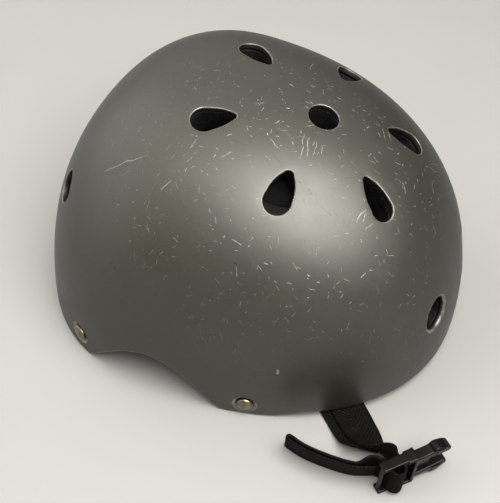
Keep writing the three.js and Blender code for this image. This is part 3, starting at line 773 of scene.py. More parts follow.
def bead_foam():
    look = Looks("liner_foam")
    beads = look.cells(BEAD_SCALE, feature="SMOOTH_F1")
    joints = look.cells(BEAD_SCALE, feature="DISTANCE_TO_EDGE")
    tone = look.ranged(look.noise(40, 3), 0.3, 0.7)
    colour = look.mix(tone, (0.0012, 0.0012, 0.0013), (0.0028, 0.0028, 0.0030))
    colour = look.mix(look.ranged(joints, 0.0, 0.09, 0.7, 0), colour, (0.002, 0.002, 0.002))
    speck = look.ranged(look.noise(1100, 3, 0.75), 0.62, 0.70, 0, 0.9)
    colour = look.mix(speck, colour, (0.085, 0.085, 0.080))
    height = look.bump(beads, 0.0008, 0.8)
    look.finish(Specular_IOR_Level=0.12)
    return look.finish(Base_Color=colour, Roughness=look.ranged(tone, 0, 1, 0.62, 0.85), Normal=height)


def brushed_knit():
    look = Looks("pad_cloth")
    loops = look.cells(900.0)
    fluff = look.noise(1500, 4, 0.75)
    tone = look.noise(60, 4, 0.6)
    colour = look.tones(tone, 0.3, 0.7, (0.008, 0.008, 0.009), (0.016, 0.016, 0.0175))
    colour = look.mix(look.ranged(fluff, 0.55, 0.8, 0, 0.6), colour, (0.05, 0.05, 0.053))
    height = look.plus(look.times(loops, 0.5), fluff)
    look.finish(Sheen_Weight=0.25, Sheen_Roughness=0.45, Specular_IOR_Level=0.2)
    return look.finish(Base_Color=colour, Roughness=0.95, Normal=look.bump(height, 0.0006, 0.8))


def pad_piping():
    look = Looks("pad_seam")
    ribs = look.cells(1400.0)
    colour = look.tones(look.noise(90, 3), 0.3, 0.7, (0.004, 0.004, 0.0045), (0.009, 0.009, 0.0095))
    height = look.bump(ribs, 0.0004, 0.8)
    return look.finish(Base_Color=colour, Roughness=0.8, Normal=height, Sheen_Weight=0.15)


def hook_tape():
    look = Looks("hook_tape")
    tone = look.ranged(look.cells(1100.0), 0.1, 0.6)
    colour = look.mix(tone, (0.016, 0.016, 0.0165), (0.003, 0.003, 0.0035))
    return look.finish(Base_Color=colour, Roughness=0.75, Normal=look.bump(tone, 0.0005, 0.9))


def webbing():
    """Twill webbing: the pattern runs along the piece's own length and width, in metres."""
    look = Looks("webbing")
    uv = look.flat_map()
    parts = look.add("ShaderNodeSeparateXYZ", {0: uv})
    along, across = parts.outputs[0], parts.outputs[1]
    fold = look.size(across)
    thread = look.times(look.plus(along, fold), 2 * math.pi / (WEAVE_PITCH * MM))
    cross = look.times(look.minus(along, look.times(fold, YARN_SLOPE)), 2 * math.pi / YARN_PITCH)
    rib = look.math("MULTIPLY_ADD", look.math("SINE", thread), 0.5, 0.5)
    yarn = look.math("MULTIPLY_ADD", look.math("SINE", cross), 0.5, 0.5)
    height = look.plus(look.times(rib, 0.7), look.times(yarn, 0.35))
    fibre = look.noise(2600, 3, 0.7)
    height = look.plus(height, look.times(fibre, 0.35))
    tone = look.ranged(look.noise(70, 3, 0.6), 0.3, 0.7)
    colour = look.mix(tone, (0.0009, 0.0009, 0.0009), (0.0019, 0.0018, 0.0018))
    colour = look.mix(look.ranged(height, 0.55, 1.25, 0, 0.8), colour, (0.0060, 0.0056, 0.0053))
    fuzz = look.ranged(look.noise(780, 4, 0.75), 0.56, 0.72, 0, 0.7)
    colour = look.mix(fuzz, colour, (0.045, 0.039, 0.032))
    look.finish(Specular_IOR_Level=0.05)
    return look.finish(Base_Color=colour, Roughness=0.7, Normal=look.bump(height, 0.0004, 0.85))


def stitch_thread():
    look = Looks("stitch_thread")
    twist = look.noise(1800, 3, 0.6)
    colour = look.tones(twist, 0.3, 0.7, (0.006, 0.006, 0.0065), (0.024, 0.024, 0.025))
    return look.finish(Base_Color=colour, Roughness=0.6, Normal=look.bump(twist, 0.0002, 0.7))


def moulded_plastic():
    look = Looks("buckle_plastic")
    tone = look.noise(120, 4, 0.6)
    colour = look.tones(tone, 0.3, 0.7, (0.0007, 0.0007, 0.0007), (0.0015, 0.0015, 0.0016))
    rubbed = look.ranged(look.noise(420, 5, 0.7), 0.62, 0.76, 0, 0.5)
    colour = look.mix(rubbed, colour, (0.008, 0.008, 0.0082))
    rough = look.plus(look.ranged(tone, 0.3, 0.7, 0.28, 0.38), look.times(rubbed, 0.25))
    grain = look.bump(look.noise(1700, 3, 0.6), 0.00006, 0.5)
    return look.finish(Base_Color=colour, Roughness=rough, Normal=grain, Specular_IOR_Level=0.13)


def rivet_metal():
    look = Looks("rivet_metal")
    stain = look.noise(420, 5, 0.7)
    colour = look.tones(stain, 0.35, 0.7, (0.22, 0.195, 0.125), (0.09, 0.078, 0.05))
    dust = look.ranged(look.noise(1500, 3, 0.6), 0.6, 0.8, 0, 0.5)
    colour = look.mix(dust, colour, (0.045, 0.04, 0.03))
    rough = look.ranged(stain, 0.3, 0.7, 0.26, 0.5)
    relief = look.bump(stain, 0.0001, 0.5)
    return look.finish(Base_Color=colour, Metallic=0.95, Roughness=rough, Normal=relief)


def washer_metal():
    look = Looks("washer_metal")
    stain = look.noise(500, 4, 0.6)
    colour = look.tones(stain, 0.3, 0.7, (0.20, 0.205, 0.21), (0.13, 0.133, 0.137))
    rough = look.ranged(stain, 0.3, 0.7, 0.3, 0.5)
    relief = look.bump(stain, 0.00008, 0.5)
    return look.finish(Base_Color=colour, Metallic=0.95, Roughness=rough, Normal=relief)


def table_top():
    look = Looks("table_top")
    tone = look.noise(3, 4, 0.5)
    colour = look.tones(tone, 0.3, 0.7, (0.335, 0.331, 0.321), (0.352, 0.348, 0.338))
    look.finish(Base_Color=colour, Roughness=0.5, Normal=look.bump(look.noise(500, 3), 0.0001, 0.15))
    # A camera below the table sees through it.
    behind = look.add("ShaderNodeNewGeometry").outputs["Backfacing"]
    seen = look.add("ShaderNodeLightPath").outputs["Is Camera Ray"]
    clear = look.add("ShaderNodeBsdfTransparent")
    either = look.add("ShaderNodeMixShader", {0: look.times(behind, seen)})
    look.link(look.shader.outputs[0], either.inputs[1])
    look.link(clear.outputs[0], either.inputs[2])
    look.link(either.outputs[0], look.output.inputs["Surface"])
    return look.material


SHELL_PAINT = shell_paint()
LINER_FOAM = bead_foam()
PAD_CLOTH = brushed_knit()
PAD_SEAM = pad_piping()
HOOK_TAPE = hook_tape()
WEBBING = webbing()
THREAD = stitch_thread()
PLASTIC = moulded_plastic()
RIVET_METAL = rivet_metal()
WASHER_METAL = washer_metal()


# ---------------------------------------------------------------- shell and liner

SHELL_SPACING = 2.3
LINER_SPACING = 3.2
LINER_THICKNESS = LINER_END - LINER_START
# How much wider the liner's vents are than the shell's.
LINER_VENT_GROWTH = 0.2

shell_edge = rounded_edge(1.45, 1.0, SHELL_THICKNESS)
shell_openings = vent_openings(0.0, 0.8, SHELL_THICKNESS) + rivet_dimples(SHELL_THICKNESS)
shell = domed_wall(
    "shell", 0.0, SHELL_THICKNESS, rim_height, shell_edge, shell_openings, SHELL_SPACING, SHELL_PAINT
)
stand_for(shell, "helmet", "shell_paint", "outer_shell")

liner_rim = rounded_edge(1.5, 4.0, LINER_THICKNESS)
liner_vents = vent_openings(LINER_VENT_GROWTH, 3.0, LINER_THICKNESS, 0.8)
liner = domed_wall(
    "liner", LINER_START, LINER_END, liner_edge, liner_rim, liner_vents, LINER_SPACING, LINER_FOAM
)
stand_for(liner, "helmet", "liner_foam", "foam_liner")


# ---------------------------------------------------------------- turned parts


def turned(name, place, profile, material, segments=48, closed=False):
    """A profile of radius and depth below the outer face, turned about the rivet's axis."""
    side = unit(np.cross(place["out"], UP))
    other = np.cross(place["out"], side)
    vertices, faces, rows = [], [], []
    for radius, depth in profile:
        centre = place["at"] - depth * place["out"]
        if radius == 0:
            rows.append([len(vertices)] * segments)
            vertices.append(centre)
            continue
        rows.append([len(vertices) + i for i in range(segments)])
        for i in range(segments):
            a = 2 * math.pi * i / segments
            vertices.append(centre + radius * (math.cos(a) * side + math.sin(a) * other))
    pairs = list(zip(rows, rows[1:]))
    if closed:
        pairs.append((rows[-1], rows[0]))
    for upper, lower in pairs:
        # A row at the axis is one point, so its quads have only three corners.
        corners = [list(dict.fromkeys(quad)) for quad in quads_between(upper, lower)]
        faces += [face for face in corners if len(face) > 2]
    return face_outwards(make_object(name, vertices, faces, material))


RIVET_RADIUS = 4.8
RIVET_PROUD = 1.5
RIVET_CROWN = 1.75


def rivet_profile(depth):
    clinch, end = depth + 2.7, depth + 3.9
    head = []
    for i in range(13):
        a = math.pi / 2 * i / 12
        rise = RIVET_CROWN * (1 - math.cos(a)) ** 1.15
        head.append((RIVET_RADIUS * math.sin(a) ** 0.9, rise - RIVET_PROUD))
    shank = [(RIVET_RADIUS, 0.45), (4.6, 0.68), (2.1, 0.7), (2.0, 0.8), (2.0, clinch - 0.1)]
    foot = [(2.1, clinch), (3.2, clinch), (3.4, clinch + 0.2), (3.35, end - 0.5), (2.9, end - 0.1)]
    return head + shank + foot + [(2.2, end), (1.2, end - 0.35), (0, end - 0.45)]


for place in RIVET_PLACES:
    rivet = turned(place["name"] + "_rivet_turned", place, rivet_profile(place["depth"]), RIVET_METAL)
    stand_for(rivet, "helmet", "rivet_metal", place["name"] + "_rivet")
    near, far = place["depth"] + 1.2, place["depth"] + 2.4
    washer_profile = [(2.35, near + 0.15), (2.5, near), (5.2, near), (5.4, near + 0.2)]
    washer_profile += [(5.4, far - 0.2), (5.2, far), (2.5, far), (2.35, far - 0.15)]
    washer = turned(place["name"] + "_washer_turned", place, washer_profile, WASHER_METAL, closed=True)
    stand_for(washer, "helmet", "washer_metal", place["name"] + "_rivet_washer")


# ---------------------------------------------------------------- pads

# Each pad starts slightly small, and swells by no more than its cap in the cloth simulation.
PAD_START = 0.965
PAD_VOXEL = 3.2
PAD_PRESSURE = 3.5
PAD_FRAMES = 16
PAD_CAP = 1.8
PAD_INSET = 23.5
SEAM_SHARE = 0.80
PIPING_RADIUS = 0.8
PAD_FACE = 32.0
CROWN_PAD_X = -14.0
CROWN_PAD_RADIUS = 40.0
PAD_NODES = ["front_pad", "rear_pad", "left_side_pad", "right_side_pad", "crown_pad"]


def apply_modifiers(obj):
    depsgraph = bpy.context.evaluated_depsgraph_get()
    mesh = bpy.data.meshes.new_from_object(obj.evaluated_get(depsgraph))
    obj.modifiers.clear()
    obj.data = mesh


def all_vertices(mesh):
    co = np.zeros(len(mesh.vertices) * 3)
    mesh.vertices.foreach_get("co", co)
    return co.reshape(-1, 3)


def make_pads():
    scene = bpy.context.scene
    pads = []
    for node in PAD_NODES:
        mesh = frame["nodes"][node].data.copy()
        obj = bpy.data.objects.new(node + "_cushion", mesh)
        scene.collection.objects.link(obj)
        mesh.materials.clear()
        mesh.materials.append(PAD_CLOTH)
        rest = all_vertices(mesh)
        middle = rest.mean(0)
        mesh.vertices.foreach_set("co", (middle + (rest - middle) * PAD_START).ravel())
        remesh = obj.modifiers.new("remesh", "REMESH")
        remesh.mode = "VOXEL"
        remesh.voxel_size = PAD_VOXEL * MM
        apply_modifiers(obj)
        pads.append(obj)
    for obj in pads:
        cloth = obj.modifiers.new("cloth", "CLOTH")
        settings = cloth.settings
        settings.use_pressure = True
        settings.uniform_pressure_force = PAD_PRESSURE
        settings.effector_weights.gravity = 0
        settings.quality = 5
        settings.mass = 0.3
        cloth.point_cache.frame_start = 1
        cloth.point_cache.frame_end = PAD_FRAMES
    before = {obj.name: all_vertices(obj.data) for obj in pads}
    for f in range(1, PAD_FRAMES + 1):
        scene.frame_set(f)
    for obj in pads:
        apply_modifiers(obj)
        start, end = before[obj.name], all_vertices(obj.data)
        move = end - start
        size = np.linalg.norm(move, axis=1, keepdims=True)
        move = move * np.minimum(1, PAD_CAP * MM / np.maximum(size, 1e-9))
        obj.data.vertices.foreach_set("co", (start + move).ravel())
    scene.frame_set(1)
    for obj in pads:
        smooth = obj.modifiers.new("smooth", "SMOOTH")
        smooth.iterations = 3
        smooth.factor = 0.5
        subdivide = obj.modifiers.new("subdivide", "SUBSURF")
        subdivide.levels = subdivide.render_levels = 1
        apply_modifiers(obj)
        obj.data.polygons.foreach_set("use_smooth", [True] * len(obj.data.polygons))
    return pads


pads = make_pads()


def keep_clear(obj, level_inset):
    """Pushes a pad's points back inside the liner's inner face."""
    co = all_vertices(obj.data) / MM - OFFSET
    for _ in range(12):
        over = dome_level(co, level_inset) > 1
        if not over.any():
            break
        co[over] -= 0.25 * dome_normal(co[over])
    obj.data.vertices.foreach_set("co", ((co + OFFSET) * MM).ravel())
    obj.data.update()


def wall_seam(turn, half, low, high):
    """A rounded loop near a wall pad's edge, on the side towards the head."""
    places = []
    for a in np.linspace(0, 2 * math.pi, 96, endpoint=False):
        reach = super_radius(math.cos(a), math.sin(a), 6.0) * SEAM_SHARE
        place = (low + high) / 2 + (high - low) / 2 * reach * math.sin(a)
        places.append((turn + half * reach * math.cos(a), place))
    turns, climbs = np.array(places).T
    return dome(turns, climbs, PAD_FACE)


def crown_seam():
    ring = CROWN_PAD_RADIUS * SEAM_SHARE * circle(96)
    return np.array([dome_above(CROWN_PAD_X + x, y, PAD_FACE) for x, y in ring])


def piping(name, obj, loop):
    """A cord sewn round a pad: a closed tube that lies on the pad's own surface."""
    centres, outs = [], []
    for p in (loop + OFFSET) * MM:
        _, nearest, out, _ = obj.closest_point_on_mesh(Vector(p))
        centres.append(np.array(nearest) / MM - OFFSET)
        outs.append(np.array(out))
    for _ in range(3):
        centres = (np.array(centres) * 2 + np.roll(centres, 1, 0) + np.roll(centres, -1, 0)) / 4
    outs = unit(np.array(outs) + np.roll(outs, 1, 0) + np.roll(outs, -1, 0))
    along = unit(np.roll(centres, -1, 0) - np.roll(centres, 1, 0))
    side = unit(np.cross(along, outs))
    rise = np.cross(side, along)
    ring = [c * side + s * rise for c, s in circle(12)]
    vertices = np.stack([centres + PIPING_RADIUS * (r + 0.35 * rise) for r in ring], 1).reshape(-1, 3)
    rows = np.arange(len(vertices)).reshape(-1, len(ring))
    faces = [quad for one, other in zip(rows, np.roll(rows, -1, 0)) for quad in quads_between(one, other)]
    return face_outwards(make_object(name, vertices, faces, PAD_SEAM))


SEAMS = {
    "front_pad": wall_seam(0.0, 0.62, 0.34, 0.62),
    "rear_pad": wall_seam(math.pi, 0.46, 0.30, 0.60),
    "left_side_pad": wall_seam(1.72, 0.30, 0.40, 0.68),
    "right_side_pad": wall_seam(-1.72, 0.30, 0.40, 0.68),
    "crown_pad": crown_seam(),
}

for node, obj in zip(PAD_NODES, pads):
    keep_clear(obj, PAD_INSET)
    stand_for(obj, "helmet", "pad_cloth", node)
    stand_for(piping(node + "_piping", obj, SEAMS[node]), "helmet", "pad_cloth")

for node in PAD_NODES:
    patch = frame["nodes"][node + "_hook_patch"]
    patch.data.materials.clear()
    patch.data.materials.append(HOOK_TAPE)


# ---------------------------------------------------------------- webbing


def catmull_rom(points, per_span):
    """Points along a centripetal Catmull-Rom curve."""
    points = np.asarray(points, float)
    padded = np.vstack([2 * points[0] - points[1], points, 2 * points[-1] - points[-2]])
    out = []
    for i in range(len(points) - 1):
        p0, p1, p2, p3 = padded[i : i + 4]
        d0, d1, d2 = (max(np.linalg.norm(b - a) ** 0.5, 1e-4) for a, b in ((p0, p1), (p1, p2), (p2, p3)))
        t1 = ((p1 - p0) / d0 - (p2 - p0) / (d0 + d1) + (p2 - p1) / d1) * d1
        t2 = ((p2 - p1) / d1 - (p3 - p1) / (d1 + d2) + (p3 - p2) / d2) * d1
        t = np.linspace(0, 1, per_span, endpoint=False)[:, None]
        out.append(
            p1
            + t1 * t
            + (-3 * p1 + 3 * p2 - 2 * t1 - t2) * t**2
            + (2 * p1 - 2 * p2 + t1 + t2) * t**3
        )
    out.append(points[-1:])
    return np.vstack(out)


def section(width, thickness, across):
    """The webbing's cross-section as (place across, height, which face): rounded, slightly fuller edges."""
    half = width / 2 - thickness / 2
    ys = np.linspace(-half, half, across)
    full = 1 + 0.10 * np.exp(-(((np.abs(ys) - half) / 1.2) ** 2))
    top = [(y, thickness / 2 * f, 1) for y, f in zip(ys, full)]
    right = [
        (half + thickness / 2 * 1.1 * math.sin(a), thickness / 2 * 1.1 * math.cos(a), 0)
        for a in (math.pi / 6, math.pi / 3, math.pi / 2, 2 * math.pi / 3, 5 * math.pi / 6)
    ]
    bottom = [(y, -z, -1) for y, z, _ in reversed(top)]
    left = [(-y, -z, 0) for y, z, _ in right]
    return np.array(top + right + bottom + left)


WEAVE_RELIEF = 0.07
EDGE_SMOOTH = 0.8
SPAN_POINTS = 60
# Over this length before a skewed part, the width's direction stops being squared to the strap.
SKEW_RUN_IN = 10


def strap(name, stations, step, across, skewed=None):
    """A woven strap through stations of (centre, direction of its width).

    From the station numbered skewed, the width keeps its own direction, however the strap turns.
    """
    centres = catmull_rom([s[0] for s in stations], SPAN_POINTS)
    widths = catmull_rom([s[1] for s in stations], SPAN_POINTS)
    run = np.concatenate([[0], np.cumsum(np.linalg.norm(np.diff(centres, axis=0), axis=1))])
    count = max(4, int(run[-1] / step))
    at = np.linspace(0, run[-1], count + 1)
    centres = np.stack([np.interp(at, run, c) for c in centres.T], 1)
    widths = np.stack([np.interp(at, run, c) for c in widths.T], 1)
    along = unit(np.gradient(centres, axis=0))
    square = np.ones(len(at))
    if skewed is not None:
        square = np.clip((run[SPAN_POINTS * skewed] - at) / SKEW_RUN_IN, 0, 1)
    wide = unit(widths - square[:, None] * (widths * along).sum(1, keepdims=True) * along)
    thick = unit(np.cross(along, wide))
    loop = section(WEB_WIDTH, WEB_THICKNESS, across)
    y, z, face = loop.T
    count_loop = len(loop)
    phase = 2 * math.pi * (at[:, None] + np.abs(y)[None]) / WEAVE_PITCH
    fade = np.clip((WEB_WIDTH / 2 - EDGE_SMOOTH - np.abs(y)) / EDGE_SMOOTH, 0, 1)
    relief = WEAVE_RELIEF * np.sin(phase) * fade * face
    points = (
        centres[:, None]
        + y[None, :, None] * wide[:, None]
        + (z[None] + relief)[..., None] * thick[:, None]
    )
    vertices = [p for row in points for p in row]
    uv = [(a * MM, yy * MM) for a in at for yy in y]
    rows = np.arange(len(vertices)).reshape(-1, count_loop)
    faces = [quad for one, other in zip(rows, rows[1:]) for quad in quads_between(one, other)]
    for row, sign in ((0, -1), (count, 1)):
        cap = len(vertices) + np.arange(count_loop)
        middle = centres[row] + sign * WEB_THICKNESS * 0.3 * along[row]
        vertices += list(middle + (points[row] - centres[row]) * 0.93)
        uv += [(at[row] * MM, yy * MM) for yy in y]
        faces += quads_between(rows[row], cap) + [list(cap)]
    obj = make_object(name, vertices, faces, WEBBING, uv=uv)
    return face_outwards(obj, split=True)


def flat_station(x, y, z, heading_degrees):
    heading = math.radians(heading_degrees)
    return np.array([x, y, z]), np.array([-math.sin(heading), math.cos(heading), 0.0])


def tab_point(place, rise):
    return place["at"] - place["depth"] * place["out"] + rise * place["up"]


def hanging_stations(place, ground_z):
    last = tab_point(place, -5.8)
    inward = -unit(place["out"] * [1, 1, 0])
    bend = last + 2.2 * inward
    bend[2] = (last[2] + 2 * ground_z) / 3
    floor = last + 7 * inward
    floor[2] = ground_z
    across = place["along"]
    ends = [tab_point(place, 8), tab_point(place, 0), last, bend, floor]
    return [(p, across) for p in ends]


EXIT = np.array([-91.0, 82.5, UPPER_LAYER_Z])
EXIT_TURN = math.radians(136)
EXIT_AHEAD = np.array([math.cos(EXIT_TURN), math.sin(EXIT_TURN), 0.0])
REAR_STRAP_OFFSET = 5.0


def exit_station(distance, z, edge_rise):
    at = EXIT + distance * EXIT_AHEAD
    at[2] = z
    return at, unit([EXIT_AHEAD[1], -EXIT_AHEAD[0], edge_rise])


def under_station(distance, z, edge_rise):
    at, across = exit_station(distance, z, edge_rise)
    down = np.cross(EXIT_AHEAD, across)
    if down[2] > 0:
        down = -down
    gap = UPPER_LAYER_Z - LOWER_LAYER_Z + 0.9 * edge_rise
    return at + REAR_STRAP_OFFSET * across + gap * down, across


# Male buckle's frame: forward along its prongs, near towards its open face, and height.
SHOULDER = np.array([-131.0, 106.0, 0.0])
HEADING = math.radians(229)
FORWARD = np.array([math.cos(HEADING), math.sin(HEADING), 0.0])
NEAR = np.array([FORWARD[1], -FORWARD[0], 0.0])
BUCKLE_BASE_Z = 0.4
BUCKLE_HEIGHT = 25.0
BUCKLE_MIDDLE_Z = BUCKLE_BASE_Z + BUCKLE_HEIGHT / 2
INNER_BAR, LADDER_BAR, END_BAR = -3.6, -10.0, -18.0


def at_buckle(forward, near, height=BUCKLE_MIDDLE_Z):
    p = SHOULDER + forward * FORWARD + near * NEAR
    p[2] = height
    return p


def upright(point, lean=0.0):
    return np.asarray(point, float), np.array([lean, 0.0, 1.0])


# The webbings' ways over the floor inside the rim, as places and headings in degrees.
LEFT_FRONT_ROUTE = [(58, 80, 205), (40, 76, 183), (10, 74, 181), (-30, 71, 184)]
LEFT_FRONT_ROUTE += [(-56, 66, 178), (-74, 68.5, 152)]
LEFT_REAR_ROUTE = [(-44, 82, 225), (-58, 72, 200), (-76, 67.5, 160)]
RIGHT_FRONT_ROUTE = [(69, -86, 100), (66, -77, 112), (44, -44, 122), (22, -12, 116), (14.5, 6, 92)]
RIGHT_REAR_ROUTE = [(-33.6, -92, 78), (-31, -84, 68), (-12, -48, 60), (8, -14, 62), (13, -3, 70)]
# Outside the rim the left webbings rise and turn on edge: distance, height and how much one edge is lifted.
RISING = [(13, 3.9, 0.15), (25, 7.8, 0.75)]
# The tail: its height, lean and path, and the gap between its two layers.
TAIL_Z = 10.1
TAIL_LEAN = np.array([-0.08, 0.30, 1.0])
TAIL_RUN = [(-113.2, 113.1), (-104, 117.2), (-90, 119.0), (-75, 118.6), (-66, 116.5)]
TAIL_GAP = 2.5


def tail_stations():
    """The tail stands on its edge and leans outwards; it runs out, folds over and comes back outside."""
    run = np.array(TAIL_RUN, float)
    ahead = unit(np.gradient(run, axis=0))
    outward = np.stack([-ahead[:, 1], ahead[:, 0]], 1)
    turns = [
        run[-1] + TAIL_GAP / 2 * ((1 - math.cos(a)) * outward[-1] + math.sin(a) * ahead[-1])
        for a in np.radians([30, 60, 90, 120, 150])
    ]
    path = list(run[1:]) + turns + list((run + TAIL_GAP * outward)[::-1])
    return [(np.array([x, y, TAIL_Z]), TAIL_LEAN) for x, y in path]


def left_front_webbing(place):
    leg, bulge = 3.9, 7.0
    top = UPPER_LAYER_Z
    stations = hanging_stations(place, top)
    stations += [flat_station(x, y, top, heading) for x, y, heading in LEFT_FRONT_ROUTE]
    stations += [exit_station(-10, top, 0), exit_station(0, top, 0)]
    stations += [exit_station(*r) for r in RISING]
    stations += [
        upright(at_buckle(LADDER_BAR + leg, -9, 11.6), -0.3),
        upright(at_buckle(LADDER_BAR + leg, -3)),
        upright(at_buckle(LADDER_BAR + leg, 2.4)),
        upright(at_buckle(LADDER_BAR + 0.74 * leg, bulge - 1.5)),
        upright(at_buckle(LADDER_BAR, bulge)),
        upright(at_buckle(LADDER_BAR - 0.74 * leg, bulge - 1.5)),
        upright(at_buckle(LADDER_BAR - leg, 2.4)),
        upright(at_buckle(LADDER_BAR - leg, -3)),
        upright(at_buckle(LADDER_BAR - leg - 3.4, -8.4, 12.2)),
    ]
    skewed = len(stations) + 1
    stations += tail_stations()
    return strap("left_front_webbing", stations, 0.4, 34, skewed=skewed)


def left_rear_webbing(place):
    low, top = LOWER_LAYER_Z, UPPER_LAYER_Z
    stations = hanging_stations(place, low)
    stations += [flat_station(x, y, low, heading) for x, y, heading in LEFT_REAR_ROUTE]
    stations += [under_station(-10, top, 0), under_station(0, top, 0)]
    stations += [under_station(*r) for r in RISING]
    return strap("left_rear_webbing", stations, 0.6, 30)


left_front = left_front_webbing(RIVET_PLACES[0])
left_rear = left_rear_webbing(RIVET_PLACES[1])


def to_row(p):
    return tuple((np.asarray(p, float) + OFFSET) * MM)


# A way that leans slightly off the strap's square, passed to bend_webbing as the reach.
EXIT_ACROSS = np.array([EXIT_AHEAD[1], -EXIT_AHEAD[0], 0.0])
BEND_LEAN = math.radians(10)
bend_way = math.cos(BEND_LEAN) * EXIT_AHEAD + math.sin(BEND_LEAN) * EXIT_ACROSS
LEFT_BEND_HALF = 5.0
RIGHT_BEND_HALF = 4.0


def bend_webbing(obj, swinging, middle, reach, *nodes):
    """Webbing with its placement baked into its mesh, in place of CAD nodes that it hides; swinging, middle
    and reach are not used.
    """
    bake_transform(obj)
    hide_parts(*nodes)


left_reach = LEFT_BEND_HALF * bend_way
bend_webbing(left_front, "left_chin_strap", EXIT, left_reach, "left_front_strap", "left_chin_strap")
bend_webbing(left_rear, "left_chin_strap", EXIT, left_reach, "left_rear_strap", "left_rear_strap_end")

SOCKET_BAR = np.array([14.0, 26.0, 4.9])
SOCKET_LOOP = 2.5
RIGHT_FOLD_Z = 3.0


def tab_to_floor(place, floor_z):
    """Down from the rivet and round onto the floor, inwards."""
    last = tab_point(place, -5.2)
    inward = -unit(place["out"] * [1, 1, 0])
    middle = last + 1.6 * inward
    middle[2] = floor_z + 0.35 * (last[2] - floor_z)
    stations = [(tab_point(place, 8), -place["along"]), (tab_point(place, 0), -place["along"])]
    return stations + [(last, -place["along"]), (middle, -place["along"])]


def right_front_webbing(place):
    bar_x, bar_y, bar_z = SOCKET_BAR
    across = np.array([-1.0, 0, 0])
    stations = tab_to_floor(place, RIGHT_FOLD_Z)
    stations += [flat_station(x, y, RIGHT_FOLD_Z, heading) for x, y, heading in RIGHT_FRONT_ROUTE]
    stations.append(flat_station(bar_x, bar_y - 8, RIGHT_FOLD_Z - 0.1, 90))
    for a in np.radians([-90, -45, 0, 45, 90]):
        at = np.array([bar_x, bar_y + SOCKET_LOOP * math.cos(a), bar_z + SOCKET_LOOP * math.sin(a)])
        stations.append((at, across))
    stations.append((np.array([bar_x, bar_y - 8, bar_z + 0.3]), across))
    stations.append((np.array([bar_x, bar_y - 16, bar_z + 0.1]), across))
    return strap("right_front_webbing", stations, 0.8, 22)


def right_rear_webbing(place):
    stations = tab_to_floor(place, LOWER_LAYER_Z)
    stations += [flat_station(x, y, LOWER_LAYER_Z, heading) for x, y, heading in RIGHT_REAR_ROUTE]
    return strap("right_rear_webbing", stations, 0.8, 22)


right_front = right_front_webbing(RIVET_PLACES[2])
right_rear = right_rear_webbing(RIVET_PLACES[3])
HARNESS_FRONT = np.array([69.0, -88.5, 3.0])
HARNESS_REAR = np.array([-34.0, -94.0, 3.0])
harness_line = unit(HARNESS_FRONT - HARNESS_REAR)
inward = np.cross(UP, harness_line)
fold_way = unit(inward * 0.85 - UP * 0.5)
right_reach = RIGHT_BEND_HALF * fold_way
bend_webbing(
    right_front, "right_harness", HARNESS_FRONT, right_reach, "right_front_strap_tab", "right_front_strap"
)
bend_webbing(
    right_rear, "right_harness", HARNESS_REAR, right_reach, "right_rear_strap_tab", "right_rear_strap"
)


# ---------------------------------------------------------------- stitches


def stitch_rows(name, rows, up, body):
    """Rows of short raised stitches along straight lines of (start, end), in the dome's millimetres."""
    pitch, half_length, half_width, height = 1.9, 0.75, 0.28, 0.32
    rings, turns = 7, 8
    vertices, faces = [], []
    for start, end in rows:
        start, end = np.array(start, float), np.array(end, float)
        heading = unit(end - start)
        side = np.cross(up, heading)
        count = int(np.linalg.norm(end - start) / pitch)
        for index in range(count):
            middle = start + heading * pitch * (index + 0.5)
            base = len(vertices)
            for u in np.linspace(-1, 1, rings):
                thick = math.sqrt(max(0.0, 1 - u * u)) * 0.85 + 0.15
                for c, s in circle(turns):
                    offset = half_width * thick * c * side + height * thick * s * up
                    vertices.append(middle + u * half_length * heading + offset)
            loops = base + np.arange(rings * turns).reshape(rings, turns)
            for one, other in zip(loops, loops[1:]):
                faces += quads_between(one, other)
            faces += [list(loops[0][::-1]), list(loops[-1])]
    stand_for(face_outwards(make_object(name, vertices, faces, THREAD)), body, "webbing")


def box_stitch(middle, heading_degrees, half_length, half_width):
    """The rows of a box with a cross in it, on a flat strap."""
    heading = math.radians(heading_degrees)
    along = np.array([math.cos(heading), math.sin(heading), 0.0])
    across = np.array([-along[1], along[0], 0.0])
    signs = [(-1, -1), (1, -1), (1, 1), (-1, 1)]
    corners = [middle + a * half_length * along + b * half_width * across for a, b in signs]
    rows = list(zip(corners, corners[1:] + corners[:1]))
    return rows + [(corners[0], corners[2]), (corners[1], corners[3])]


join_top = np.array([14.8, 3.0, RIGHT_FOLD_Z + WEB_THICKNESS / 2])
stitch_rows("right_straps_box_stitch", box_stitch(join_top, 93, 5.5, 6.5), UP, "right_harness")


# ---------------------------------------------------------------- moulded buckles


def round_edges(work, edges, radius, segments):
    bmesh.ops.bevel(
        work,
        geom=edges,
        offset=radius,
        segments=segments,
        affect="EDGES",
        profile=0.5,
        clamp_overlap=True,
    )


def rounded_block(low, high, radius, axes, origin, segments=3):
    """A box with rounded edges, between two corners in its own axes."""
    work = bmesh.new()
    bmesh.ops.create_cube(work, size=1)
    low, high = np.array(low, float), np.array(high, float)
    for v in work.verts:
        v.co = Vector((low + high) / 2 + np.array(v.co) * (high - low))
    round_edges(work, list(work.edges), radius, segments)
    return from_bmesh(work, axes, origin)


def rounded_bar(start, end, radius, axes, origin, segments=20):
    start, end = np.array(start, float), np.array(end, float)
    heading = unit(end - start)
    side = unit(np.cross(heading, [0.31, 0.52, 0.8]))
    other = np.cross(heading, side)
    ring = [radius * (c * side + s * other) for c, s in circle(segments)]
    points = [centre + offset for centre in (start, end) for offset in ring]
    first, last = np.arange(2 * segments).reshape(2, segments)
    faces = quads_between(first, last) + [tuple(first[::-1]), tuple(last)]
    return np.array([origin + p @ axes for p in points]), faces


